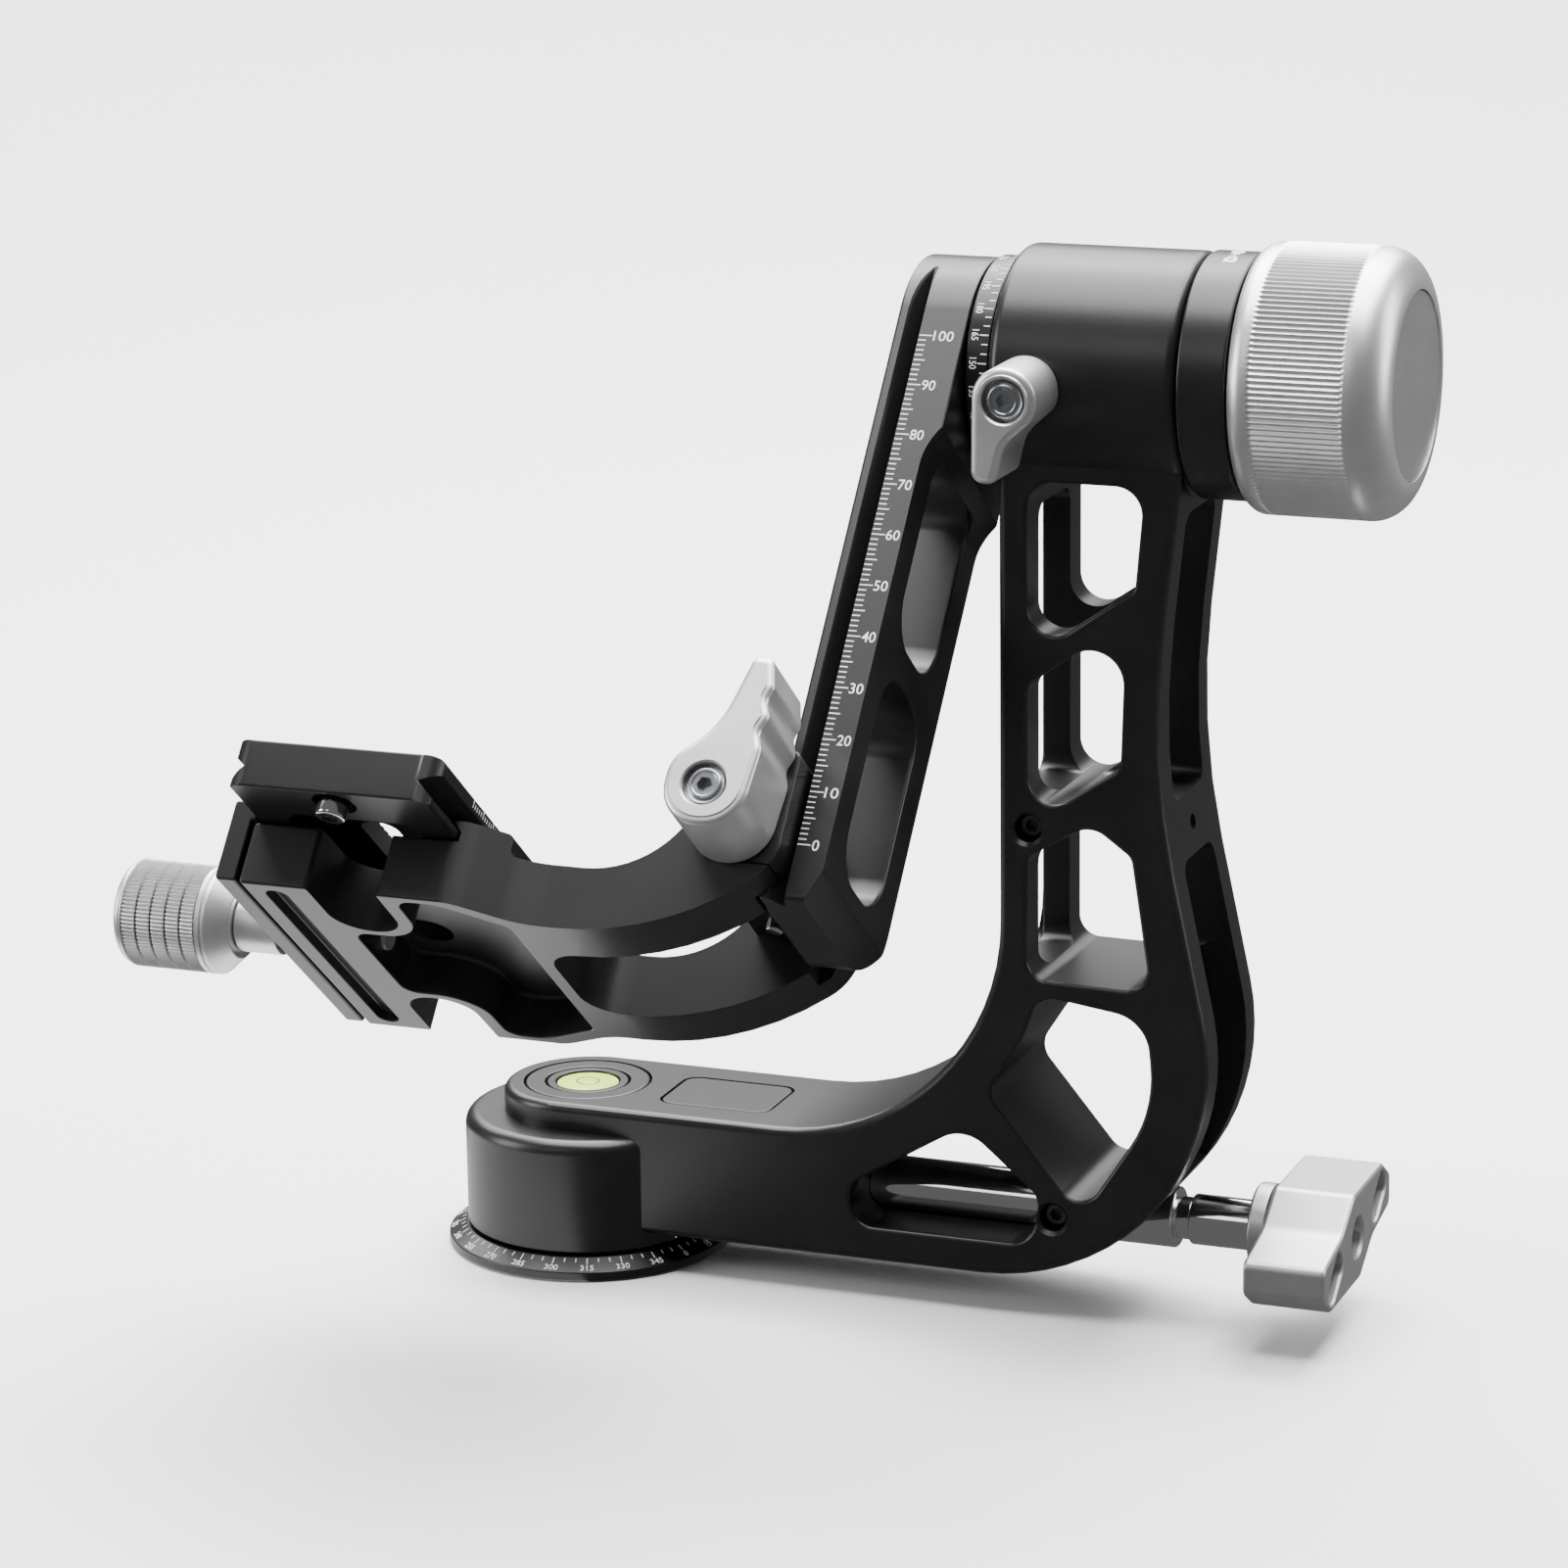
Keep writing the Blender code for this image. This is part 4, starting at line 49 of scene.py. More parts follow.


# shapes: every length below is in millimetres until finished scales the mesh

def cornerArcs(corners, closed=True):
    # outline through corners (u, v, radius): each corner is the arc that touches both its sides
    spots = np.array([corner[:2] for corner in corners], float)
    runs = []
    for index, (u, v, radius) in enumerate(corners):
        atEnd = not closed and index in (0, len(corners) - 1)
        if radius <= 0 or atEnd:
            runs.append(spots[index][None])
            continue
        toBefore = spots[index - 1] - spots[index]
        toAfter = spots[(index + 1) % len(corners)] - spots[index]
        toBefore /= np.linalg.norm(toBefore)
        toAfter /= np.linalg.norm(toAfter)
        half = math.acos(np.clip(toBefore @ toAfter, -1, 1)) / 2
        if quarterTurn - half < shading["nearlyStraight"]:
            runs.append(spots[index][None])
            continue
        bisector = (toBefore + toAfter) / np.linalg.norm(toBefore + toAfter)
        centre = spots[index] + bisector * radius / math.sin(half)
        start = spots[index] + toBefore * radius / math.tan(half) - centre
        end = spots[index] + toAfter * radius / math.tan(half) - centre
        first = math.atan2(start[1], start[0])
        sweep = math.remainder(math.atan2(end[1], end[0]) - first, fullTurn)
        count = max(shading["fewestPoints"], math.ceil(abs(sweep) / shading["arcStep"]) + 1)
        turns = first + sweep * np.linspace(0, 1, count)
        runs.append(centre + radius * np.column_stack([np.cos(turns), np.sin(turns)]))
    outline = np.concatenate(runs)
    apart = np.linalg.norm(outline - np.roll(outline, 1, 0), axis=1) > shading["samePoint"]
    return outline[apart] if closed else outline


def rounded(outline, closed=True):
    # rows of three are corners and become an outline, rows of two are one already
    outline = np.asarray(outline, float)
    return cornerArcs(outline.tolist(), closed) if outline.shape[1] == 3 else outline


def anticlockwise(outline):
    following = np.roll(outline, -1, 0)
    area = np.sum(outline[:, 0] * following[:, 1] - following[:, 0] * outline[:, 1])
    return outline if area > 0 else outline[::-1]


def pushed(outline, distance):
    # every point moves out along the mean of its two side normals, so that the sides move by distance
    before = outline - np.roll(outline, 1, 0)
    after = np.roll(outline, -1, 0) - outline
    before /= np.linalg.norm(before, axis=1)[:, None]
    after /= np.linalg.norm(after, axis=1)[:, None]
    normals = np.column_stack([before[:, 1] + after[:, 1], -before[:, 0] - after[:, 0]])
    return outline + distance * normals / (1 + np.sum(before * after, axis=1))[:, None]


def onAxis(axis, u, v, along):
    # puts three equal arrays on the world axes: outline coordinates u, v and the place along the axis
    stacked = [None, None, None]
    for place, values in zip(placesOfAxis[axis], (u, v, along)):
        stacked[place] = values
    return np.stack(stacked, axis=-1)


def gridMesh(grid, caps=True):
    # grid (rows, columns, 3): quads between rows, each closed on itself; flat ends or a last row of quads
    rows, columns = grid.shape[:2]
    index = np.arange(rows * columns).reshape(rows, columns)
    around = np.roll(index, -1, 1)
    quads = np.stack([index[:-1], around[:-1], around[1:], index[1:]], axis=-1).reshape(-1, 4)
    faces = quads.tolist()
    if caps:
        faces += [index[0][::-1].tolist(), index[-1].tolist()]
    else:
        faces += np.stack([index[-1], around[-1], around[0], index[0]], axis=-1).tolist()
    return meshObject("solid", grid.reshape(-1, 3), faces)


def linked(name, data):
    made = bpy.data.objects.new(name, data)
    bpy.context.scene.collection.objects.link(made)
    return made


def meshObject(name, points, faces):
    mesh = bpy.data.meshes.new(name)
    mesh.from_pydata(points.tolist(), [], faces)
    shape = bmesh.new()
    shape.from_mesh(mesh)
    bmesh.ops.recalc_face_normals(shape, faces=shape.faces)
    shape.to_mesh(mesh)
    shape.free()
    return linked(name, mesh)


def meshPoints(mesh):
    points = np.empty(len(mesh.vertices) * 3, np.float32)
    mesh.vertices.foreach_get("co", points)
    return points.reshape(-1, 3).astype(float)


def evaluatedMesh(piece):
    graph = bpy.context.evaluated_depsgraph_get()
    return bpy.data.meshes.new_from_object(piece.evaluated_get(graph))


def carried(axis, outline, low, high, lowRim=0.0, highRim=0.0, lowSteps=None):
    # outline carried from low to high; a rim r pulls the end in along a quarter circle, -r flares it out
    # lowSteps gives the low end as (depth, inset) pairs instead
    outline = anticlockwise(rounded(outline))
    turns = np.linspace(0, quarterTurn, shading["rimSteps"] + 1)

    def rimLevels(end, rim, inward):
        if rim == 0:
            return [(end, 0.0)]
        depth = abs(rim) * (1 - np.cos(turns))
        push = -rim * (1 - np.sin(turns))
        return list(zip(end + inward * depth, push))

    lowLevels = rimLevels(low, lowRim, 1)
    if lowSteps:
        lowLevels = [(low + depth, -inset) for depth, inset in lowSteps]
    levels = lowLevels + rimLevels(high, highRim, -1)[::-1]
    if lowRim < 0:
        levels.insert(0, (low - shading["overshoot"], -lowRim))
    if highRim < 0:
        levels.append((high + shading["overshoot"], -highRim))
    layers = [pushed(outline, push) if push else outline for depth, push in levels]
    depths = np.array([depth for depth, push in levels])[:, None] * np.ones(len(outline))
    loops = np.stack(layers)
    return gridMesh(onAxis(axis, loops[..., 0], loops[..., 1], depths))


def turned(axis, profile, steps=96, centre=(0.0, 0.0), ring=False, ridges=None):
    # profile (along, radius) swept round the axis: radius(along, angle) = profile radius - ridges
    profile = rounded(profile, ring)
    angles = np.arange(steps) * fullTurn / steps
    along = profile[:, :1] + 0 * angles
    radius = profile[:, 1:] + 0 * angles
    if ridges is not None:
        radius = radius - ridges(along, angles + 0 * along)
    u = centre[0] + radius * np.cos(angles)
    v = centre[1] + radius * np.sin(angles)
    return gridMesh(onAxis(axis, u, v, along), caps=not ring)


def rod(axis, radius, low, high, centre=(0.0, 0.0), steps=64):
    return turned(axis, [(low, radius), (high, radius)], steps, centre)


def spun(axis, corners, steps, centre=(0.0, 0.0)):
    # like turned, from corners (along, radius, round) of which the first and the last lie on the axis
    return turned(axis, cornerArcs(corners, False)[1:-1], steps, centre)


def drum(axis, radius, low, high, lowRim, highRim, steps, centre=(0.0, 0.0)):
    corners = [(low, 0.0, 0), (low, radius, lowRim), (high, radius, highRim), (high, 0.0, 0)]
    return spun(axis, corners, steps, centre)


def obround(halfWidth, low, high, centre=0.0):
    return cornerArcs([(centre - halfWidth, low, halfWidth), (centre + halfWidth, low, halfWidth),
                       (centre + halfWidth, high, halfWidth), (centre - halfWidth, high, halfWidth)])


def boxCorners(lowU, lowV, highU, highV, radius=0.0):
    return cornerArcs([(lowU, lowV, radius), (highU, lowV, radius), (highU, highV, radius),
                       (lowU, highV, radius)])


def block(axis, box, low, high, lowRim=0.0, highRim=0.0):
    return carried(axis, boxCorners(*box), low, high, lowRim, highRim)


def carve(piece, *tools, how="DIFFERENCE"):
    # cuts, joins or intersects with closed shapes, one after the other
    for tool in tools:
        step = piece.modifiers.new("carve", "BOOLEAN")
        step.operation = how
        step.solver = "EXACT"
        step.object = tool
        old = piece.data
        piece.data = evaluatedMesh(piece)
        piece.modifiers.clear()
        bpy.data.meshes.remove(old)
        oldTool = tool.data
        bpy.data.objects.remove(tool, do_unlink=True)
        bpy.data.meshes.remove(oldTool)
    return piece


def carveAll(piece, cuts, how="DIFFERENCE"):
    # each cut is the function that makes the tool, then what it is given
    return carve(piece, *[make(*values) for make, *values in cuts], how=how)


def merged(piece, *others):
    # several closed shells as one mesh
    shape = bmesh.new()
    shape.from_mesh(piece.data)
    for other in others:
        shape.from_mesh(other.data)
        bpy.data.objects.remove(other, do_unlink=True)
    shape.to_mesh(piece.data)
    shape.free()
    return piece


def swingPoints(points):
    # swing frame (a, c, b) to the world: c and b turn by the swing angle about the tilt axis
    a, c, b = points.T
    sine, cosine = math.sin(swing["tilt"]), math.cos(swing["tilt"])
    return np.column_stack([a, c * cosine + b * sine, swing["height"] + b * cosine - c * sine])


def finished(piece, name, body, node=None, finish="blackAnodised", slot=None):
    # scales the mesh to metres, turns swing pieces into place, smooths it, dresses it and lets it ride
    # a piece that replaces a node hides that node; the slot of its finish, or the one given, is worked out
    # but not kept
    mesh = piece.data
    points = meshPoints(mesh)
    if body not in swing["notIn"]:
        points = swingPoints(points)
    mesh.vertices.foreach_set("co", (points * mm).astype(np.float32).ravel())
    mesh.update()
    mesh.shade_smooth()
    mesh.set_sharp_from_angle(angle=shading["sharpAngle"])
    level = piece.modifiers.new("weighted", "WEIGHTED_NORMAL")
    level.keep_sharp = True
    piece.name = name
    mesh.name = name
    mesh.materials.clear()
    mesh.materials.append(finishes[finish])
    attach(piece, body)
    if node:
        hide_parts(node)
        slot = slot or slots[finish]
    return piece


# finishes

# each finish: colour, metallic, roughness, depth and scale of its grain, mottling of its colour
finishSettings = {
    "blackAnodised": ((0.0045, 0.0046, 0.0049), 0.0, 0.34, 0.10, 5200, 0.18),
    "silverBlasted": ((0.70, 0.705, 0.715), 0.95, 0.38, 0.22, 4200, 0.06),
    "silverMatt": ((0.50, 0.505, 0.515), 0.95, 0.40, 0.20, 4200, 0.05),
    "silverFace": ((0.42, 0.425, 0.435), 0.95, 0.42, 0.16, 5200, 0.05),
    "chrome": ((0.78, 0.78, 0.80), 1.0, 0.09, 0.02, 2600, 0.03),
    "steel": ((0.46, 0.47, 0.49), 1.0, 0.24, 0.10, 2600, 0.10),
    "darkSteel": ((0.10, 0.10, 0.105), 0.9, 0.38, 0.10, 2600, 0.10),
    "brass": ((0.66, 0.48, 0.22), 1.0, 0.28, 0.08, 2600, 0.10),
    "lining": ((0.20, 0.14, 0.10), 0.0, 0.85, 0.50, 2200, 0.25),
    "rubber": ((0.014, 0.014, 0.015), 0.0, 0.82, 0.45, 2400, 0.20),
    "whitePaint": ((0.80, 0.80, 0.78), 0.0, 0.55, 0.15, 5200, 0.06),
    "scaleInk": ((0.010, 0.010, 0.011), 0.0, 0.60, 0.10, 5200, 0.06),
}
slots = {"blackAnodised": "black_anodised", "silverBlasted": "silver_anodised",
         "silverMatt": "silver_anodised", "silverFace": "silver_anodised", "chrome": "chrome",
         "steel": "steel", "darkSteel": "steel", "rubber": "rubber", "levelFluid": "level_fluid"}
mottling = {"scale": 90, "detail": 5, "from": 0.32, "to": 0.68}
graining = {"detail": 2, "smoothest": 0.9, "roughest": 1.12, "bumpDistance": 0.00004}


def newMaterial(name):
    material = bpy.data.materials.new(name)
    material.use_nodes = True
    nodes = material.node_tree.nodes
    return material, nodes, material.node_tree.links, nodes["Principled BSDF"]


def addNoise(nodes, links, scale, detail):
    place = nodes.new("ShaderNodeTexCoord")
    noise = nodes.new("ShaderNodeTexNoise")
    noise.inputs["Scale"].default_value = scale
    noise.inputs["Detail"].default_value = detail
    links.new(place.outputs["Object"], noise.inputs["Vector"])
    return noise.outputs["Fac"]


def makeFinish(name, colour, metallic, roughness, grain, grainScale, mottle):
    # fine blasted grain as bump, slow mottling of the colour and a slight change of roughness
    material, nodes, links, shader = newMaterial(name)
    shader.inputs["Metallic"].default_value = metallic
    slow = addNoise(nodes, links, mottling["scale"], mottling["detail"])
    colours = nodes.new("ShaderNodeValToRGB")
    colours.color_ramp.elements[0].position = mottling["from"]
    colours.color_ramp.elements[0].color = (*[c * (1 - mottle) for c in colour], 1)
    colours.color_ramp.elements[1].position = mottling["to"]
    colours.color_ramp.elements[1].color = (*[min(1, c * (1 + mottle)) for c in colour], 1)
    links.new(slow, colours.inputs["Fac"])
    links.new(colours.outputs["Color"], shader.inputs["Base Color"])
    fine = addNoise(nodes, links, grainScale, graining["detail"])
    rough = nodes.new("ShaderNodeMapRange")
    rough.inputs["To Min"].default_value = roughness * graining["smoothest"]
    rough.inputs["To Max"].default_value = min(1, roughness * graining["roughest"])
    links.new(fine, rough.inputs["Value"])
    links.new(rough.outputs["Result"], shader.inputs["Roughness"])
    bump = nodes.new("ShaderNodeBump")
    bump.inputs["Strength"].default_value = grain
    bump.inputs["Distance"].default_value = graining["bumpDistance"]
    links.new(fine, bump.inputs["Height"])
    links.new(bump.outputs["Normal"], shader.inputs["Normal"])
    return material


finishes = {name: makeFinish(name, *row) for name, row in finishSettings.items()}


fluid = {"roughness": 0.12, "coat": 0.4, "scale": 260, "detail": 2,
         "colours": [(0.46, 0.70, 0.08, 1), (0.70, 0.90, 0.20, 1)]}


def makeFluid():
    # glossy yellow-green fluid of the level, a little uneven in colour
    material, nodes, links, shader = newMaterial("levelFluid")
    shader.inputs["Roughness"].default_value = fluid["roughness"]
    shader.inputs["Coat Weight"].default_value = fluid["coat"]
    ramp = nodes.new("ShaderNodeValToRGB")
    for element, colour in zip(ramp.color_ramp.elements, fluid["colours"]):
        element.color = colour
    links.new(addNoise(nodes, links, fluid["scale"], fluid["detail"]), ramp.inputs["Fac"])
    links.new(ramp.outputs["Color"], shader.inputs["Base Color"])
    return material


finishes["levelFluid"] = makeFluid()
print("stage: finishes made,", len(finishes))

# camera, at the photograph's angle

camera = {"place": (397.69, -912.26, 351.88), "azimuth": 21.33, "elevation": 14.76, "roll": -0.75,
          "focalPixels": 5511.99, "imagePixels": 1601, "sensor": 36.0, "near": 0.05, "far": 50}


def aim(thing, place, across, above, forward):
    # local x, y and -z lie along the three directions
    axes = Matrix([[across[i], above[i], -forward[i]] for i in range(3)])
    thing.matrix_world = Matrix.Translation(place) @ axes.to_4x4()


def makeCamera():
    turn, rise, roll = (math.radians(camera[key]) for key in ("azimuth", "elevation", "roll"))
    level = math.cos(rise)
    forward = np.array([-math.sin(turn) * level, math.cos(turn) * level, -math.sin(rise)])
    right = np.array([math.cos(turn), math.sin(turn), 0.0])
    up = np.cross(right, forward)
    across = right * math.cos(roll) + up * math.sin(roll)
    upright = up * math.cos(roll) - right * math.sin(roll)
    lens = bpy.data.cameras.new("camera")
    lens.sensor_width = camera["sensor"]
    lens.lens = camera["focalPixels"] / camera["imagePixels"] * camera["sensor"]
    lens.clip_start = camera["near"]
    lens.clip_end = camera["far"]
    seen = linked("camera", lens)
    aim(seen, [c * mm for c in camera["place"]], across, upright, forward)
    bpy.context.scene.camera = seen


makeCamera()

# arm: side profile with windows, housing, hub, slots and bores

arm = {
    "half": 16.15, "rim": 1.6, "windowRim": 0.8, "tiltHeight": 176.3,
    "profile": [(-2.0, 7.1, 0), (139.7, 7.1, 43.9), (117.9, 108.9, 141), (123.6, 161.0, 0), (123.6, 176.3, 0),
                (89.4, 176.3, 0), (89.4, 31.35, 44.5), (-2.0, 31.35, 0)],
    "rounds": [(drum, "Z", 16.15, 17.0, 31.35, 0, 1.6, 128), (drum, "Z", 23.8, 4.2, 26.2, 0.5, 2.6, 160),
               (drum, "X", 22.0, 89.2, 124.0, 2.2, 2.0, 160, (0.0, 176.3))],
    "windows": [
        [(94.9, 158.1, 5), (116.8, 158.1, 5), (115.1, 139.6, 2), (94.9, 125.7, 5)],
        [(94.9, 120.6, 3), (113.4, 133.7, 6), (112.5, 106.3, 2.5), (94.9, 94.2, 5)],
        [(94.8, 88.5, 3), (107, 95.5, 5), (114.6, 90, 3), (118.3, 65, 4), (94.8, 65.3, 4)],
        [(96.9, 62.4, 4.5), (117.5, 59.6, 7.5), (119.2, 42.5, 25), (105.2, 20.6, 4.5), (86.8, 42.7, 4.5),
         (94, 53.9, 20)],
        [(59.9, 13.9, 4.5), (59.9, 22, 4), (82.5, 35.6, 7), (97, 23.4, 4), (95.8, 13.9, 5.5)],
    ],
    "slots": [(block, "X", (-9.1, 99.0, 9.1, 152.6, 3.0), 89.4, 145.0, -0.6, 0),
              (block, "X", (-9.1, 66.0, 9.1, 88.0, 3.0), 89.4, 145.0, -0.6, 0)],
    "pocketHalf": 9.1, "pocketRadii": (48.0, 37.9), "pocketTurns": (-34.0, 25.0), "pocketSteps": 24,
    # room for the bearings, bores of the locks, seat of the inlay, two screw holes and a pin's bore
    "bores": [
        (turned, "Z", [(3.0, 19.8), (24.1, 19.8), (24.1, 15.0), (26.6, 15.0), (26.6, 10.8), (27.6, 10.8),
                       (27.6, 12.45), (31.35, 12.45), (31.5, 12.6), (33.0, 12.6)], 96),
        (rod, "X", 6.9, 14.0, 32.3, (0.0, 17.0), 48), (rod, "X", 6.05, 14.0, 145.0, (0.0, 17.0), 48),
        (turned, "X", [(88.0, 10.5), (102.6, 10.5), (102.6, 17.8), (126.0, 17.8)], 96, (0.0, 176.3)),
        (rod, "Y", 5.5, -30.0, -10.0, (97.2, 176.3), 48),
        (block, "Z", (17.5, -8.6, 40.5, 8.6, 3.2), 30.35, 33.0),
        (turned, "Y", [(-17.15, 4.3), (-15.45, 2.6), (-7.55, 2.6)], 40, (94.9, 93.8)),
        (turned, "Y", [(-17.15, 4.3), (-15.45, 2.6), (-7.55, 2.6)], 40, (99.6, 19.6)),
        (rod, "X", 1.5, 112.0, 130.0, (0.0, 93.4), 24),
    ],
}


def elbowCentre():
    # centre of the round that joins the profile's foot to its waist
    (foot, low, radius), (waist, high) = arm["profile"][1], arm["profile"][2][:2]
    half = (quarterTurn - math.atan2(foot - waist, high - low)) / 2
    return foot - radius / math.tan(half), low + radius


def makeArm():
    half, rim, windowRim = arm["half"], arm["rim"], -arm["windowRim"]
    body = carried("Y", arm["profile"], -half, half, rim, rim)
    carveAll(body, arm["rounds"], "UNION")
    carve(body, *[carried("Y", corners, -half, half, windowRim, windowRim) for corners in arm["windows"]])
    carveAll(body, arm["slots"])
    # pocket behind the elbow: a band of two arcs about the elbow's centre
    middle, (outer, inner) = np.array(elbowCentre()), arm["pocketRadii"]
    turns = np.radians(np.linspace(*arm["pocketTurns"], arm["pocketSteps"]))
    unit = np.column_stack([np.cos(turns), np.sin(turns)])
    pocket = np.concatenate([middle + outer * unit, (middle + inner * unit)[::-1]])
    carve(body, carried("Y", pocket, -arm["pocketHalf"], arm["pocketHalf"]))
    carveAll(body, arm["bores"])
    finished(body, "armBody", "arm", "arm_frame")


makeArm()
print("stage: arm made")

# small parts of the arm: screws, cap, level, inlay, collar

fittings = {
    "screw": [(-13.15, 1.9), (-12.75, 2.3), (-7.85, 2.3)], "socket": (1.3, -14.15, -11.15),
    "screwsAt": {"upper": (94.9, 93.8), "lower": (99.6, 19.6)},
    "cap": [(27.9, 0.0, 0), (27.9, 12.1, 0.2), (31.37, 12.1, 0.5), (31.37, 8.2, 0.35), (28.9, 8.2, 0),
            (28.9, 0.0, 0)],
    "cup": [(29.2, 0.0, 0), (29.2, 7.9, 0.1), (31.3, 7.9, 0.35), (31.3, 6.2, 0.25), (29.8, 6.2, 0),
            (29.8, 0.0, 0)],
    "vial": (30.1, 31.12, 5.9, 0.25),
    "ring": [(31.09, 2.05), (31.14, 2.05), (31.14, 2.3), (31.09, 2.3)],
    "bubble": (31.05, 0.16, 1.5), "bubbleAt": (0.7, -0.5),
    "inlay": ((17.95, -8.15, 40.05, 8.15, 2.8), 30.65, 31.35, 0, 0.3),
    "collar": [(124.3, 18.5, 0.2), (124.3, 22.2, 0.6), (133.2, 22.2, 0.6), (133.2, 18.5, 0.2)],
}


def hexSocket(axis, spot, radius, low, high):
    turns = np.arange(6) * fullTurn / 6
    outline = np.column_stack([spot[0] + radius * np.cos(turns), spot[1] + radius * np.sin(turns)])
    return carried(axis, outline, low, high)


def makeFittings():
    for place, spot in fittings["screwsAt"].items():
        screw = turned("Y", fittings["screw"], 40, spot)
        carve(screw, hexSocket("Y", spot, *fittings["socket"]))
        finished(screw, "armScrew" + place.title(), "arm", "arm_set_screw_" + place, "darkSteel")
    finished(spun("Z", fittings["cap"], 128), "levelCap", "arm", "pan_cap")
    finished(spun("Z", fittings["cup"], 96), "levelCup", "arm", "level_cup", slot="silver_anodised")
    # vial: a low dome, height = top - fall * (share of the radius) ** 2
    low, top, rim, fall = fittings["vial"]
    dome = [(low, rim)] + [(top - fall * share ** 2, rim * share) for share in np.linspace(1, 0.15, 14)]
    finished(turned("Z", dome, 96), "levelVial", "arm", "level_vial", "levelFluid")
    finished(turned("Z", fittings["ring"], 64, ring=True), "levelRing", "arm", finish="scaleInk")
    # bubble: height = low + rise * cos(turn), radius = widest * sin(turn)
    low, rise, wide = fittings["bubble"]
    bubble = [(low, wide)] + [(low + rise * math.cos(turn), wide * math.sin(turn))
                              for turn in np.linspace(1, 0.1, 8) * quarterTurn]
    finished(turned("Z", bubble, 48, fittings["bubbleAt"]), "levelBubble", "arm", finish="levelFluid")
    finished(block("Z", *fittings["inlay"]), "namePlateBlank", "arm", "blank_plate")
    collar = turned("X", fittings["collar"], 160, (0.0, arm["tiltHeight"]), ring=True)
    finished(collar, "hubCollar", "arm", "hub_collar")


makeFittings()
print("stage: arm fittings made")

# scales: ticks and digits as thin raised paint, wrapped round cones and cylinders

marks = {"thick": 0.05, "lift": 0.015, "capHeight": 0.70, "bolder": 0.004, "curveSteps": 3}


def labelShape(text, height):
    # flat digits as arrays: (n, 3) points centred on zero, in millimetres, and their faces
    curve = bpy.data.curves.new("label", "FONT")
    curve.body = text
    curve.align_x, curve.align_y = "CENTER", "CENTER"
    curve.size = height / marks["capHeight"]
    curve.extrude = 0.5
    curve.offset = marks["bolder"] * height
    curve.resolution_u = marks["curveSteps"]
    label = linked("label", curve)
    mesh = evaluatedMesh(label)
    points = meshPoints(mesh)
    faces = [list(face.vertices) for face in mesh.polygons]
    bpy.data.objects.remove(label, do_unlink=True)
    bpy.data.meshes.remove(mesh)
    points[:, :2] -= (points[:, :2].max(0) + points[:, :2].min(0)) / 2
    points[:, 2] = np.where(points[:, 2] > 0, 1.0, 0.0)
    return points, faces


def barShape(width, height):
    # one tick as a flat box: width across, height up, z 0 to 1 for its thickness
    u, v, w = np.meshgrid([-width / 2, width / 2], [-height / 2, height / 2], [0.0, 1.0], indexing="ij")
    points = np.column_stack([u.ravel(), v.ravel(), w.ravel()])
    faces = [[0, 1, 3, 2], [4, 6, 7, 5], [0, 4, 5, 1], [2, 3, 7, 6], [0, 2, 6, 4], [1, 5, 7, 3]]
    return points, faces


def roundAxis(axis, radius, angle, along, centre=(0.0, 0.0)):
    return onAxis(axis, centre[0] + radius * np.cos(angle), centre[1] + radius * np.sin(angle), along)


def degreeShapes(scale, wrap, sense):
    # a tick every 5 degrees, and every 15 a longer one with its digits; wrap lays a shape on the surface
    shapes = []
    for degrees in range(0, 360, 5):
        turn = math.radians(scale["zero"] + sense * degrees)
        isLong = degrees % 15 == 0
        length = scale["tickLong" if isLong else "tickShort"]
        shapes.append(wrap(*barShape(scale["tickWidth"], length), turn, scale["edgeGap"] + length / 2))
        if isLong:
            shapes.append(wrap(*labelShape(str(degrees), scale["digits"]), turn, scale["digitsAt"]))
    return shapes


def gatherMarks(shapes):
    # all the marks of a scale as one mesh
    points, faces, count = [], [], 0
    for spots, sides in shapes:
        points.append(spots)
        faces += [[count + index for index in side] for side in sides]
        count += len(spots)
    return meshObject("marks", np.concatenate(points), faces)


# base disc with its degree scale

base = {"disc": [(0.0, 9.8, 0.2), (0.0, 27.5, 0.3), (1.7, 27.5, 0.35), (3.6, 24.0, 0.25), (3.6, 7.3, 0),
                 (1.5, 7.3, 0), (1.5, 9.8, 0)],
        "zero": -23.67, "tickLong": 1.5, "tickShort": 0.95, "tickWidth": 0.19, "edgeGap": 0.35,
        "digits": 1.3, "digitsAt": 2.75,
        "index": (0.3, 1.6), "indexTurn": 336.33, "indexRadius": 23.8, "indexHeight": 5.6, "indexThick": 0.02}


def makeBase():
    finished(turned("Z", base["disc"], 192, ring=True), "baseDisc", "base", "base_disc")
    (low, wide, _), (high, narrow, _) = base["disc"][2:4]
    slope = np.array([wide - narrow, low - high])
    slope /= np.linalg.norm(slope)

    def onCone(points, faces, turn, down):
        # x runs round the cone, y up its slope from a place down mm below the upper edge, z off its face
        away = down - points[:, 1]
        off = marks["lift"] + marks["thick"] * (points[:, 2] - 0.5) * 2
        radius = narrow + slope[0] * away - slope[1] * off
        height = high + slope[1] * away + slope[0] * off
        return roundAxis("Z", radius, turn + points[:, 0] / radius, height), faces

    finished(gatherMarks(degreeShapes(base, onCone, 1)), "baseScale", "base", finish="whitePaint")
    # index line on the arm's housing
    points, faces = barShape(*base["index"])
    radius = base["indexRadius"] + base["indexThick"] * points[:, 2]
    angle = math.radians(base["indexTurn"]) + points[:, 0] / radius
    spots = roundAxis("Z", radius, angle, base["indexHeight"] + points[:, 1])
    finished(gatherMarks([(spots, faces)]), "panIndex", "arm", finish="whitePaint")


# marks of the drag collar: two small locks, closed and open, with an arrow between them
# each bar is (place across, place along the turn, size across, size along, turn of the bar in degrees)

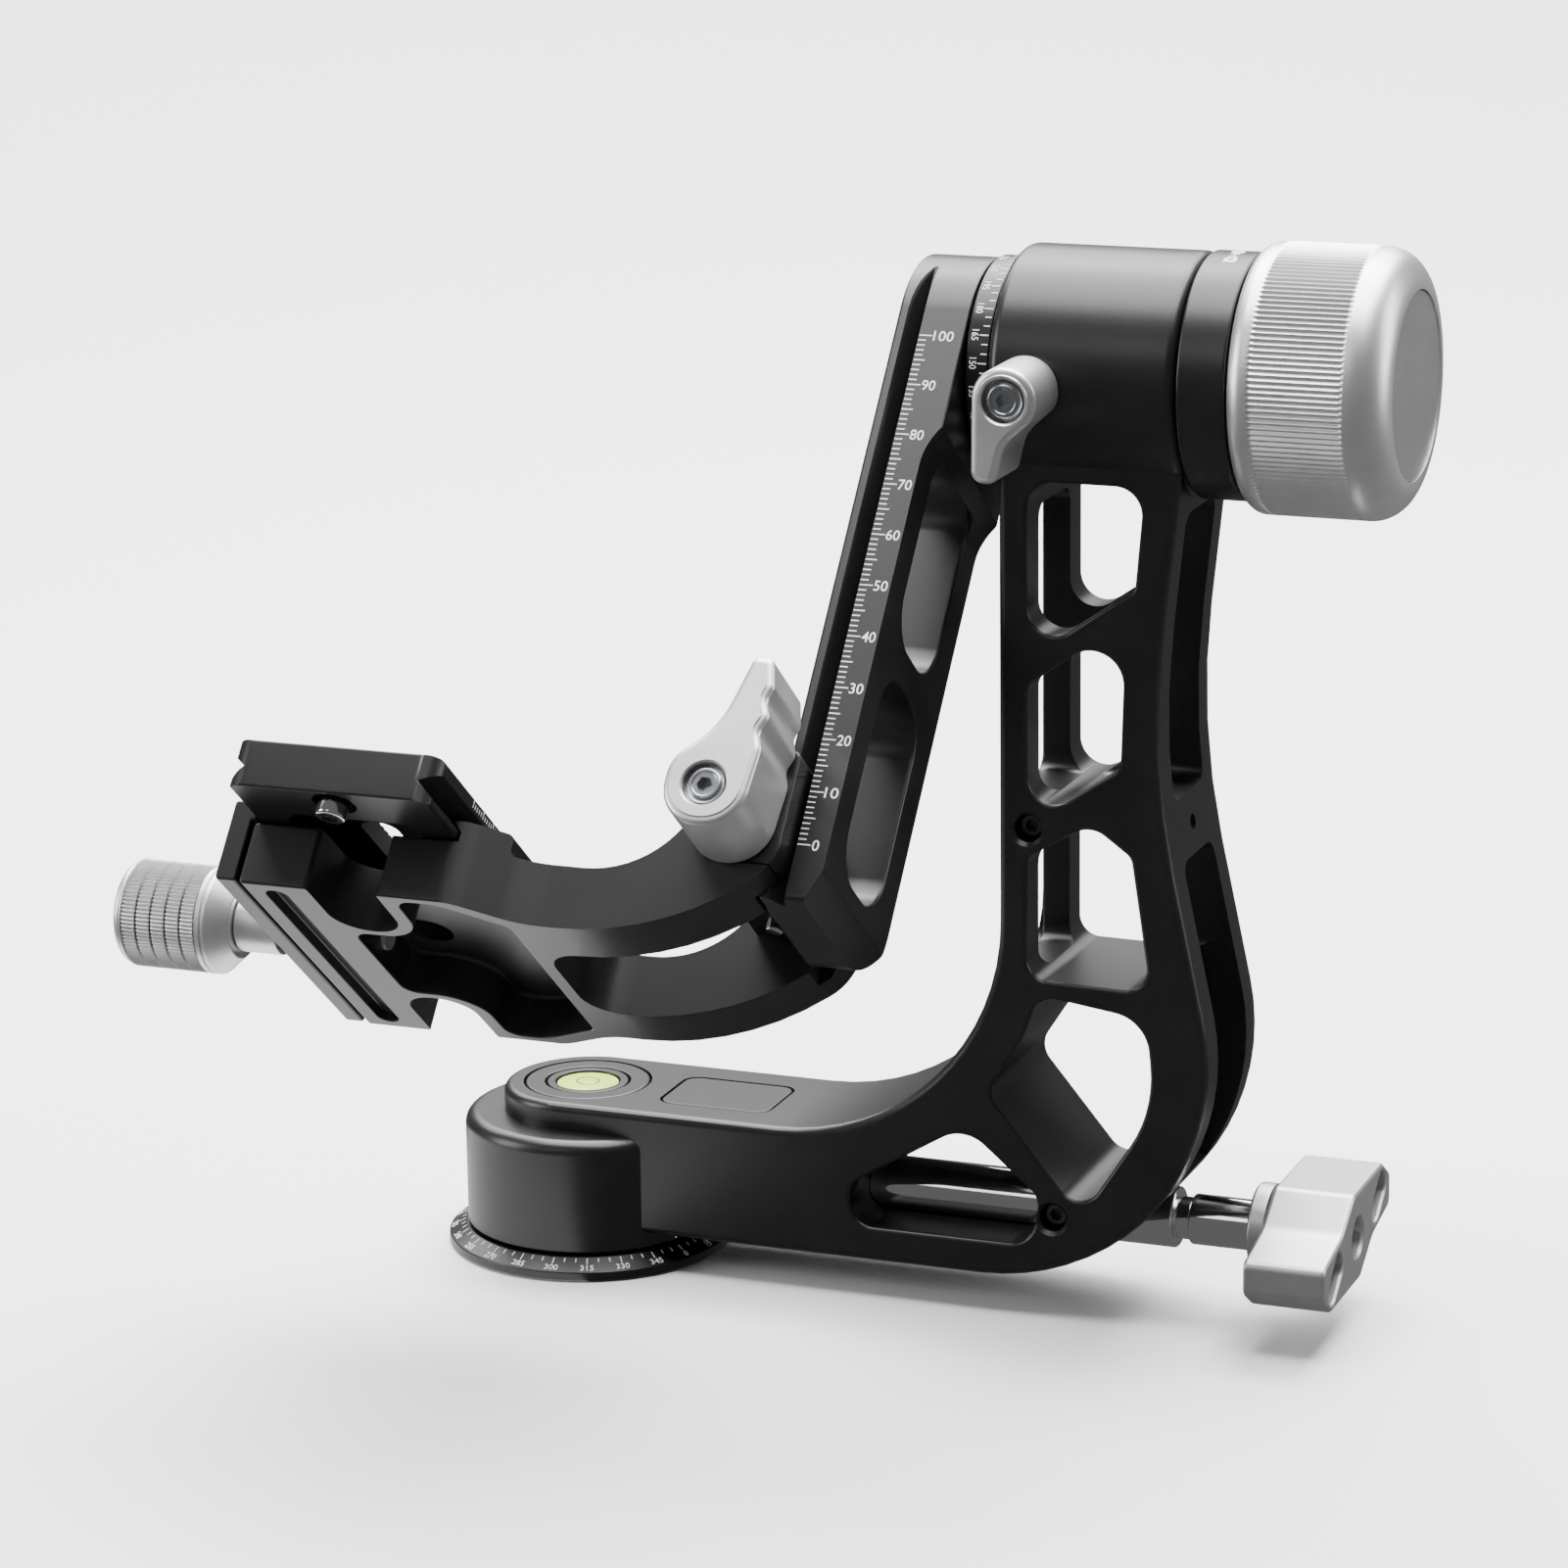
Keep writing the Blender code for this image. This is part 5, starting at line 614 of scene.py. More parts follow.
collarMarks = {"across": 129.1, "radius": 22.2, "turn": 97.0,
               "bars": [(0.0, -3.0, 2.3, 0.7, 0), (0.0, -1.7, 2.3, 0.5, 0), (-0.85, -2.35, 0.6, 1.6, 0),
                        (0.85, -2.35, 0.6, 1.6, 0), (0.55, -1.0, 0.3, 0.9, 0), (-0.55, -1.0, 0.3, 0.9, 0),
                        (0.0, -0.6, 1.4, 0.3, 0), (0.0, 0.6, 0.35, 1.1, 0), (0.4, 1.1, 1.1, 0.35, 45),
                        (-0.4, 1.1, 1.1, 0.35, -45), (0.0, 2.6, 2.3, 1.7, 0), (0.55, 4.0, 0.3, 1.1, 0),
                        (0.0, 4.5, 1.4, 0.3, 0)]}


def makeCollarMarks():
    shapes = []
    for across, along, wide, long, turn in collarMarks["bars"]:
        points, faces = barShape(wide, long)
        tilt = math.radians(turn)
        u = across + points[:, 0] * math.cos(tilt) + points[:, 1] * math.sin(tilt)
        v = along - points[:, 0] * math.sin(tilt) + points[:, 1] * math.cos(tilt)
        radius = collarMarks["radius"] - marks["thick"] / 2 + marks["thick"] * points[:, 2]
        angle = math.radians(collarMarks["turn"]) - v / collarMarks["radius"]
        spots = roundAxis("X", radius, angle, collarMarks["across"] + u, (0.0, arm["tiltHeight"]))
        shapes.append((spots, faces))
    finished(gatherMarks(shapes), "collarMarks", "arm", finish="whitePaint")


makeBase()
makeCollarMarks()
print("stage: base made")

# pan lock: chrome shaft, ring and wing knob

panLock = {
    "height": 17.0, "wingFrom": 138.2, "wingTo": 153.6, "rim": 0.8,
    "halfWing": [(17.5, 8.8, 2.5), (-2.5, 8.8, 3.0), (-11.0, 3.4, 9.0), (-22.9, 1.0, 1.8),
                 (-22.9, -5.3, 2.5)],
    "hole": (2.8, -5.2, 5.2), "holeAt": (14.8, 3.1), "holeTurn": 38.0, "holeDepths": (144.6, 153.6, 0, -0.5),
    "bore": [(137.0, 3.75), (153.1, 3.75), (153.6, 4.25), (156.0, 4.25)],
    "ring": [(134.5, 3.7, 0.2), (134.5, 8.3, 0.7), (137.8, 8.3, 0.3), (137.8, 3.7, 0.2)],
    "shaft": [(25.7, 4.0, 0.3), (33.2, 4.0, 0), (33.2, 5.75, 0.3), (119.5, 5.75, 0.5), (119.5, 4.0, 0.2),
              (122.2, 4.0, 0.2), (122.2, 4.75, 0.5), (134.2, 4.75, 0.4), (134.2, 3.4, 0), (147.0, 3.4, 0.3)],
}


def makePanLock():
    middle, rim = (0.0, panLock["height"]), panLock["rim"]
    shaft = turned("X", panLock["shaft"], 96, middle)
    finished(shaft, "panLockShaft", "pan_lock", "pan_lock_shaft", "chrome")
    ring = turned("X", panLock["ring"], 96, middle, ring=True)
    finished(ring, "panLockRing", "pan_lock", "pan_lock_ring", "silverMatt")
    # the wing looks the same after half a turn about its axis
    outline = [(side * y, side * z + middle[1], r) for side in (1, -1) for y, z, r in panLock["halfWing"]]
    wing = carried("X", outline, panLock["wingFrom"], panLock["wingTo"], rim, rim)
    turn = math.radians(90 + panLock["holeTurn"])
    turning = np.array([[math.cos(turn), -math.sin(turn)], [math.sin(turn), math.cos(turn)]])
    for side in (1, -1):
        hole = obround(*panLock["hole"]) @ turning.T + side * np.array(panLock["holeAt"]) + np.array(middle)
        carve(wing, carried("X", hole, *panLock["holeDepths"]))
    carve(wing, turned("X", panLock["bore"], 64, middle))
    finished(wing, "panLockWing", "pan_lock", "pan_lock_knob", "silverMatt")


makePanLock()
print("stage: pan lock made")

# levers of the tilt lock and the rail clamp; depths count from a lever's front face

levers = {
    "edge": [(0.0, 1.3), (0.3, 1.15), (0.34, 0.75), (0.5, 0.4), (0.8, 0.13), (1.2, 0.0)], "backRim": 0.3,
    "seat": [(-1.0, 5.3), (0.0, 4.3), (0.3, 4.0), (2.7, 4.0), (2.7, 3.3)], "bore": 3.3, "pastBack": 1.0,
    "screw": [(3.6, 3.0, 0), (2.4, 3.0, 0), (2.4, 3.45, 0), (0.9, 3.45, 0.2), (0.3, 2.75, 0.2),
              (0.3, 2.3, 0.05), (0.55, 2.15, 0.05), (0.55, 1.0, 0)],
    "socket": 1.45, "socketDepths": (-1.0, 2.1),
}
tiltLever = {"outline": [(91.3, 182.2, 5.9), (91.0, 161.3, 2.3), (95.6, 161.3, 2.0), (97.4, 168.6, 7.0),
                         (103.1, 173.6, 4.5), (103.1, 182.2, 5.9)],
             "front": -36.0, "back": -22.7, "axis": (97.2, 176.3)}


def makeLever(lever, body, leverName, leverNode, screwName, screwNode):
    # the front edge steps down once before its round; the sunk screw has a ring land and a hexagon socket
    front, back, axisPlace = lever["front"], lever["back"], lever["axis"]
    handle = carried("Y", lever["outline"], front, back, 0, levers["backRim"], levers["edge"])
    seat = [(front + depth, radius) for depth, radius in levers["seat"]]
    carve(handle, turned("Y", seat + [(back + levers["pastBack"], levers["bore"])], 64, axisPlace))
    finished(handle, leverName, body, leverNode, "silverBlasted")
    head = [(front + depth, radius, r) for depth, radius, r in levers["screw"]]
    screw = turned("Y", head, 64, axisPlace)
    low, high = levers["socketDepths"]
    carve(screw, hexSocket("Y", axisPlace, levers["socket"], front + low, front + high))
    finished(screw, screwName, body, screwNode, "steel")


makeLever(tiltLever, "tilt_lock", "tiltLockLever", "tilt_lock_lever", "tiltLockScrew", "tilt_lock_screw")
print("stage: tilt lever made")

# swing rail with its millimetre scale, boss and degree ring, in the swing frame (a, c, b)

rail = {
    "body": ("X", [(-19.0, -116.0, 1.0), (19.0, -116.0, 10.0), (19.0, 19.0, 19.0), (-19.0, 19.0, 19.0)],
             70.6, 84.0, 0.6, 0.5),
    "belowFoot": [(86.0, -118.0), (78.1, -118.0)],
    "foot": [(78.9, -116.0, 0), (81.3, -110.0, 2.5), (81.3, -100.0, 0)],
    "step": (81.3, -31.5, 2.7, 8.0, 12), "aboveStep": (86.0, -23.5), "reliefHalf": 21.0,
    "groove": [(72.15, 19.3), (74.35, 16.0), (75.1, 16.0), (75.55, 19.3)], "grooveEnds": (-118.0, 12.0),
    "cuts": [(block, "X", (-11.0, -60.7, 11.0, -21.5, 8.0), 70.6, 81.3, -0.4, -0.6),
             (block, "X", (-11.0, -106.2, 11.0, -67.2, 8.0), 70.6, 81.3, -0.4, -0.6),
             (turned, "X", [(60.0, 6.3), (73.4, 6.3), (73.4, 3.3), (90.0, 3.3)], 64),
             (turned, "X", [(75.7, 10.3), (80.0, 10.3), (80.0, 15.3), (90.0, 15.3)], 96)],
    "side": 19.0, "scaleZero": -105.6, "tickWidth": 0.2, "minor": 1.45, "middle": 2.1, "major": 2.45,
    "tickFrom": 75.6, "digits": 2.0, "digitWidth": 1.26, "digitsAt": 2.7,
}


def makeRail():
    body = carried(*rail["body"])
    # front relief: steep chamfer at the foot, flat face, and a hollow arc up to the boss
    front, low, depth, rise, count = rail["step"]
    radius = (rise ** 2 + depth ** 2) / (2 * depth)
    turns = np.linspace(math.pi, math.pi - math.asin(rise / radius), count)
    step = np.column_stack([front + radius + radius * np.cos(turns), low + radius * np.sin(turns)])
    foot = cornerArcs(rail["foot"], False)[1:-1]
    relief = np.concatenate([rail["belowFoot"], foot, step, [rail["aboveStep"]]])
    carve(body, carried("Y", relief, -rail["reliefHalf"], rail["reliefHalf"]))
    for side in (-1, 1):
        carve(body, carried("Z", np.array(rail["groove"]) * (1, side), *rail["grooveEnds"]))
    carveAll(body, rail["cuts"])
    finished(body, "swingRail", "swing", "swing_rail")

    def onSide(points, a, b):
        # x runs along a, y up the rail, z off its front side
        off = rail["side"] - marks["thick"] + 1.6 * marks["thick"] * points[:, 2]
        return np.column_stack([a + points[:, 0], -off, b + points[:, 1]])

    shapes = []
    for mark in range(101):
        size = "major" if mark % 10 == 0 else "middle" if mark % 5 == 0 else "minor"
        place = rail["scaleZero"] + mark
        points, faces = barShape(rail[size], rail["tickWidth"])
        shapes.append((onSide(points, rail["tickFrom"] + rail[size] / 2, place), faces))
        if mark % 10 == 0:
            points, faces = labelShape(str(mark), rail["digits"])
            points[:, 0] -= points[:, 0].min()
            points[:, 0] *= rail["digitWidth"] * len(str(mark)) / points[:, 0].max()
            shapes.append((onSide(points, rail["tickFrom"] + rail["digitsAt"], place), faces))
    finished(gatherMarks(shapes), "railScale", "swing", finish="whitePaint")


degreeRing = {"section": [(84.6, 10.6, 0.2), (84.6, 19.5, 0.3), (88.8, 19.5, 0.3), (88.8, 10.6, 0.2)],
              "radius": 19.5, "edge": 88.8, "edgeGap": 0.35, "zero": 359.5, "digits": 1.3, "squeeze": 0.85,
              "digitsAt": 2.85, "tickLong": 1.6, "tickShort": 1.15, "tickWidth": 0.2 / 0.85}


def makeDegreeRing():
    ring = turned("X", degreeRing["section"], 192, ring=True)
    finished(ring, "degreeRing", "swing", "degree_ring")

    def onRing(points, faces, turn, down):
        # x runs round the ring, squeezed, y along the axis from a place down mm from the edge, z off its face
        radius = degreeRing["radius"] + marks["lift"] + marks["thick"] * (2 * points[:, 2] - 1)
        angle = turn + degreeRing["squeeze"] * points[:, 0] / radius
        return roundAxis("X", radius, angle, degreeRing["edge"] - down + points[:, 1]), faces

    finished(gatherMarks(degreeShapes(degreeRing, onRing, -1)), "ringScale", "swing", finish="whitePaint")


makeRail()
makeDegreeRing()
print("stage: rail made")

# big tilt knob: fine straight knurl between smooth bands

knob = {"from": 133.5, "to": 162.0, "radius": 24.3, "innerRim": 3.2, "outerRim": 6.8, "ridges": 144,
        "ridgeDepth": 0.40, "knurlFrom": 137.6, "knurlTo": 155.0, "fade": 0.8, "fades": (0, 0.9, 7),
        "cap": ("X", 16.8, 160.0, 161.75, 0.1, 0.25, 128),
        "inside": [(160.0, 17.0), (159.7, 17.0), (159.7, 13.0), (148.3, 13.0), (148.3, 8.6), (131.8, 8.6),
                   (131.8, 12.0)]}


def makeTiltKnob():
    low, high, radius, fades = knob["from"], knob["to"], knob["radius"], np.linspace(*knob["fades"])
    face, back = knob["inside"][0][1], knob["inside"][-1][1]
    outside = cornerArcs([(low, back, 0), (low, radius, knob["innerRim"]), (high, radius, knob["outerRim"]),
                          (high, face, 0.2)], False)
    places = np.concatenate([[low + knob["innerRim"] + 0.1], knob["knurlFrom"] + fades,
                             knob["knurlTo"] - fades[::-1], [high - knob["outerRim"] - 0.1]])
    split = int(np.searchsorted(outside[:, 0], places[0]))
    band = np.column_stack([places, np.full(len(places), radius)])
    profile = np.concatenate([outside[:split], band, outside[split:], knob["inside"]])

    def ridges(along, angle):
        # depth of a wave round the knob, faded in at both ends of the knurl
        fromLow = np.clip((along - knob["knurlFrom"]) / knob["fade"], 0, 1)
        fromHigh = np.clip((knob["knurlTo"] - along) / knob["fade"], 0, 1)
        return knob["ridgeDepth"] * fromLow * fromHigh * (0.5 - 0.5 * np.cos(knob["ridges"] * angle))

    body = turned("X", profile, knob["ridges"] * 6, ring=True, ridges=ridges)
    finished(body, "tiltKnob", "drag_knob", "tilt_knob", "silverBlasted")
    finished(drum(*knob["cap"]), "tiltKnobCap", "drag_knob", "tilt_knob_cap", "silverFace")


makeTiltKnob()
print("stage: tilt knob made")

# cradle bracket: J profile carried across, trimmed to its plan, with pocket, window and groove


def mirroredCorners(corners, acrossU=1, acrossV=-1):
    return corners + [(acrossU * u, acrossV * v, r) for u, v, r in reversed(corners)]


railRoom = {"section": [(70.6, -19.0, 0), (72.4, -19.0, 0), (74.4, -16.0, 0), (86.0, -16.0, 0)], "gap": 0.3,
            "ends": (-130.0, -85.0)}


def makeRailRoom():
    # the rail's dovetail with a little play, to cut from what grips it
    section = anticlockwise(cornerArcs(mirroredCorners(railRoom["section"])))
    return carried("Z", pushed(section, railRoom["gap"]), *railRoom["ends"])


cradle = {
    "half": 32.0, "rim": 0.5,
    "profile": [(-19.5, -127.7, 0.8), (56.6, -127.7, 51.0), (74.8, -112.6, 10.5), (74.8, -90.9, 1.2),
                (59.3, -90.9, 1.5), (59.3, -116.1, 18.7), (27.5, -116.1, 1.0), (27.5, -112.3, 1.0),
                (17.35, -112.3, 0), (19.45, -114.4, 0), (19.45, -116.1, 0), (-19.5, -116.1, 0.8)],
    "plan": [(-21.0, 32.2, 0), (-6.5, 32.2, 1.2), (-6.5, 15.0, 6.4), (6.6, 15.0, 6.4), (6.9, 32.2, 1.0),
             (19.5, 32.2, 14.0), (31.5, 25.0, 14.0), (78.0, 25.0, 0)],
    "planEnds": (-130.0, -85.0),
    # pocket, groove, window, recess, rail, loose jaw, draw bolt, clamp screw and guide pins
    "cuts": [
        (carried, "Z", mirroredCorners([(-4.6, 13.2, 3.0), (9.4, 13.2, 8.4), (9.8, 29.9, 3.2),
                                        (17.5, 29.9, 9.0), (28.8, 22.9, 2.5)]), -127.7, -119.6, -0.3, 0.8),
        (carried, "Z", obround(2.1, -29.4, 29.4, -13.7), -127.7, -125.7, -0.25, 0.4),
        (carried, "Z", [(31.6, -12.9, 7.0), (59.0, -12.9, 0), (59.0, 13.5, 0), (31.6, 13.5, 7.0)],
         -132.0, -92.0),
        (block, "Z", (50.0, -12.9, 80.0, 13.5), -132.0, -110.0),
        (rod, "Z", 4.6, -120.6, -116.6, (1.8, 2.6), 56),
        (makeRailRoom,), (block, "Z", (62.2, -34.0, 77.0, -15.2), -112.5, -85.0),
        (rod, "Y", 3.3, -27.0, 27.0, (65.7, -105.6), 40), (rod, "Y", 5.8, 20.2, 30.0, (65.7, -105.6), 48),
        (rod, "X", 2.8, -22.0, -4.3, (0.0, -122.5), 40), (rod, "X", 1.8, -22.0, -9.2, (-23.0, -122.5), 32),
        (rod, "X", 1.8, -22.0, -9.2, (23.0, -122.5), 32),
    ],
    "stopPin": [(-115.2, 0.4, 0), (-115.2, 1.6, 0.3), (-109.0, 1.6, 0)],
    "stopPinsAt": [(68.2, -12.3), (68.2, -1.6)],
}


def makeCradle():
    half, rim = cradle["half"], cradle["rim"]
    body = carried("Y", cradle["profile"], -half, half, rim, rim)
    carve(body, carried("Z", mirroredCorners(cradle["plan"]), *cradle["planEnds"]), how="INTERSECT")
    carveAll(body, cradle["cuts"])
    finished(body, "cradleBracket", "cradle", "cradle_bracket")
    pins = [turned("Z", cradle["stopPin"], 32, spot) for spot in cradle["stopPinsAt"]]
    finished(merged(*pins), "stopPins", "cradle", finish="chrome", slot="chrome")


railJaw = {"ends": (-25.0, -15.5, 0.5, 0), "block": ("Z", (62.5, -26.0, 77.0, 0.0), -112.2, -85.0),
           "cuts": [(makeRailRoom,), (rod, "Y", 3.3, -27.0, 0.0, (65.7, -105.6), 40)]}


def makeRailJaw():
    jaw = carried("Y", cradle["profile"], *railJaw["ends"])
    carve(jaw, block(*railJaw["block"]), how="INTERSECT")
    carveAll(jaw, railJaw["cuts"])
    finished(jaw, "railJaw", "rail_clamp", "rail_jaw")


railLever = {"outline": [(58.25, -113.05, 7.45), (73.15, -113.05, 7.45), (74.2, -98.2, 4.0),
                         (73.1, -95.3, 2.5), (74.3, -92.3, 2.5), (73.1, -89.2, 2.5), (73.9, -86.8, 2.0),
                         (72.6, -81.3, 1.6), (69.0, -81.3, 1.6), (65.6, -94.6, 16.0), (58.25, -101.2, 7.0)],
             "front": -42.0, "back": -25.4, "axis": (65.7, -105.6)}


makeCradle()
makeRailJaw()
makeLever(railLever, "rail_lever", "railClampLever", "rail_clamp_lever", "railLeverScrew", "rail_lever_screw")
print("stage: cradle made")

# plate clamp: jaw, knurled knob and stem

clamp = {
    "jaw": [(-24.2, -127.4, 0.7), (-20.3, -127.4, 0.6), (-20.3, -115.8, 0), (-19.45, -115.5, 0),
            (-19.45, -114.4, 0), (-17.35, -112.3, 0), (-24.2, -112.3, 0.7)],
    "jawEnds": (-32.0, 32.0, 0.4, 0.4), "axis": (0.0, -122.5),
    "jawCuts": [(rod, "X", 2.8, -26.0, -16.0, (0.0, -122.5), 40),
                (rod, "X", 1.8, -26.0, -16.0, (-23.0, -122.5), 32),
                (rod, "X", 1.8, -26.0, -16.0, (23.0, -122.5), 32)],
    "stem": [(-44.5, 2.5, 0), (-32.6, 2.5, 0), (-32.6, 5.3, 0.2), (-24.5, 5.3, 0.3), (-24.5, 2.5, 0),
             (-4.0, 2.5, 0.3)],
    "radius": 9.8, "ridges": 84, "ridgeDepth": 0.44, "grooveDepth": 0.88,
    "bandFrom": -52.9, "band": 2.68, "bandPitch": 2.93, "bands": 5, "bandFade": 0.12, "afterBands": 0.25,
    "leftEnd": [(-55.0, 7.5, 0), (-55.0, 9.4, 1.2), (-53.3, 9.4, 0.2), (-53.2, 9.8, 0.1), (-52.9, 9.8, 0)],
    "rightEnd": [(-37.4, 9.8, 0), (-37.3, 9.4, 0), (-37.1, 9.4, 0), (-37.0, 9.8, 0), (-36.4, 9.8, 0.4),
                 (-32.9, 6.6, 0.5), (-32.9, 2.8, 0)], "boreEnd": (-44.8, 2.8),
    # floor, floorDeep and floorLap place the dark rings of painted shade in the grooves between the bands
    "floor": 0.5, "floorDeep": 1.2, "floorLap": 0.05,
}


def makePlateClamp():
    jaw = carried("Y", clamp["jaw"], *clamp["jawEnds"])
    carveAll(jaw, clamp["jawCuts"])
    finished(jaw, "plateJaw", "plate_clamp", "plate_jaw")
    stem = turned("X", clamp["stem"], 80, clamp["axis"])
    finished(stem, "clampStem", "clamp_screw", "clamp_stud", "silverBlasted")
    radius, fade, pitch = clamp["radius"], clamp["bandFade"], clamp["bandPitch"]
    starts = clamp["bandFrom"] + pitch * np.arange(clamp["bands"])
    ends = starts + clamp["band"]
    run = np.column_stack([starts, starts + fade, ends - fade, ends]).ravel()
    after = [(ends[-1] + clamp["afterBands"], radius, 0)] + clamp["rightEnd"]
    profile = np.concatenate([cornerArcs(clamp["leftEnd"], False)[:-1],
                              np.column_stack([run, np.full(len(run), radius)]), cornerArcs(after, False),
                              [clamp["boreEnd"]]])

    def ridges(along, angle):
        # bands of straight ridges with plain narrow grooves between them
        inBand = np.zeros_like(along)
        for low, high in zip(starts, ends):
            inside = np.clip((along - low) / fade, 0, 1) * np.clip((high - along) / fade, 0, 1)
            inBand = np.maximum(inBand, inside)
        knurled = (along > starts[0] - 0.01) & (along < ends[-1] + 0.01)
        wave = 0.5 - 0.5 * np.cos(clamp["ridges"] * angle)
        return knurled * (clamp["ridgeDepth"] * inBand * wave + clamp["grooveDepth"] * (1 - inBand))

    body = turned("X", profile, clamp["ridges"] * 6, clamp["axis"], ridges=ridges)
    finished(body, "clampKnob", "clamp_screw", "clamp_knob", "silverBlasted")
    # dark rings in the grooves between the bands: painted shade on the groove floors, given the dark steel
    # finish
    floor, deep, lap = radius - clamp["floor"], radius - clamp["floorDeep"], clamp["floorLap"]
    across = pitch - clamp["band"] + lap
    shadeRings = [turned("X", [(end - lap, deep), (end - lap, floor), (end + across, floor), (end + across, deep)],
                    clamp["ridges"], clamp["axis"], ring=True) for end in ends]
    finished(merged(*shadeRings), "clampKnobGrooveShade", "clamp_screw", finish="darkSteel", slot="steel")


makePlateClamp()
print("stage: plate clamp made")

# release plate, pad, stop screws and camera screw

plate = {
    "section": [(19.0, -115.8, 0.6), (19.0, -114.4, 0), (16.6, -112.0, 0), (19.6, -109.6, 0),
                (19.6, -107.0, 0.7)], "ends": (-47.2, 47.2, 0.5, 0.5),
    "plan": ("Z", (-19.605, -47.2, 19.605, 47.2, 4.0), -120.0, -100.0),
    # pocket below, slot, room for the pad, and the stop screws' seats and bores
    "cuts": [(block, "Z", (-12.5, -36.0, 12.5, 36.0, 4.0), -115.8, -111.6, -0.3, 0),
             (carried, "Z", obround(3.5, -26.0, 26.0), -118.0, -100.0),
             (block, "Z", (-16.3, -36.3, 16.3, 36.3, 4.3), -108.1, -104.0),
             *[(rod, "Z", radius, -118.0, high, (0.0, c), steps) for c in (-42.6, 42.6)
               for radius, high, steps in ((4.0, -114.3, 48), (1.8, -110.3, 32))]],
    "stop": [(-118.6, 0.5, 0), (-118.6, 2.75, 0.5), (-114.6, 2.75, 0.3), (-114.6, 1.5, 0), (-110.6, 1.5, 0)],
    "stopSocket": (1.5, -120.0, -116.6), "stopsAt": {"front": (0.0, -42.6), "rear": (0.0, 42.6)},
    "pad": ("Z", (-16.0, -36.0, 16.0, 36.0, 4.0), -107.8, -106.75),
    "padSlot": (carried, "Z", obround(5.0, -27.5, 27.5), -118.0, -100.0),
    "rib": (-15.6, -106.9, 15.6, -106.6, 0.1), "ribWidth": 1.0, "ribs": (-34.5, 34, 2.0),
    "side": 19.56, "tickThick": 0.08, "tickWidth": 0.16, "tickLong": 1.5, "tickShort": 0.9,
    "ticksFrom": -108.9,
    "screw": [(-115.1, 0.5, 0), (-115.1, 6.0, 0.5), (-111.9, 6.0, 0.3), (-111.9, 3.1, 0), (-101.6, 3.1, 0.5)],
    "coinSlot": ("Z", (-7.0, -0.8, 7.0, 0.8), -118.0, -113.5),
}


def makePlate():
    body = carried("Y", mirroredCorners(plate["section"], -1, 1), *plate["ends"])
    carve(body, block(*plate["plan"]), how="INTERSECT")
    carveAll(body, plate["cuts"])
    for place, spot in plate["stopsAt"].items():
        screw = turned("Z", plate["stop"], 56, spot)
        carve(screw, hexSocket("Z", spot, *plate["stopSocket"]))
        finished(screw, "plateStop" + place.title(), "plate", "plate_stop_screw_" + place, "chrome", "steel")
    finished(body, "releasePlate", "plate", "release_plate")
    # rubber pad with fine ribs across it
    pad = block(*plate["pad"])
    ribs = [block("Y", plate["rib"], c, c + plate["ribWidth"]) for c in np.arange(*plate["ribs"])]
    carve(pad, merged(*ribs), how="UNION")
    carveAll(pad, [plate["padSlot"]])
    finished(pad, "platePad", "plate", "plate_pad", "rubber")
    shapes = []
    for mark in range(-30, 31):
        length = plate["tickLong" if mark % 5 == 0 else "tickShort"]
        points, faces = barShape(plate["tickWidth"], length)
        off = plate["side"] + plate["tickThick"] * points[:, 2]
        spots = np.column_stack([off, mark + points[:, 0], plate["ticksFrom"] + length / 2 + points[:, 1]])
        shapes.append((spots, faces))
    finished(gatherMarks(shapes), "plateScale", "plate", finish="whitePaint")
    screw = turned("Z", plate["screw"], 64)
    carve(screw, block(*plate["coinSlot"]))
    finished(screw, "cameraScrew", "camera_bolt", "camera_screw", "steel")


makePlate()
print("stage: plate made")

# carried-over nodes get their finishes

nodeFinishes = {
    "steel": ["tripod_insert", "pan_spindle", "pan_brake_sleeve", "pan_inner_ring", "pan_ball_cage",
              "pan_lock_nut", "pan_outer_ring", "tilt_outer_ring", "tilt_bearing_retainer", "tilt_lock_stud",
              "tilt_spindle", "tilt_inner_ring", "tilt_ball_cage", "tilt_spacer", "tilt_pressure_plate",
              "tilt_spring_washer", "boss_screw", "tilt_end_screw", "jaw_guide_pin_front",
              "jaw_guide_pin_rear", "rail_draw_bolt"],
    "brass": ["pan_plain_bush", "pan_lock_bush", "tilt_plain_bush", "tilt_lock_bush", "pan_brake_shoe",
              "tilt_brake_pad", "tilt_knob_insert"],
    "lining": ["tilt_friction_disc"],
}
for finish, nodes in nodeFinishes.items():
    for node in nodes:
        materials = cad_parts[node].data.materials
        materials.clear()
        materials.append(finishes[finish])

# floor and studio light

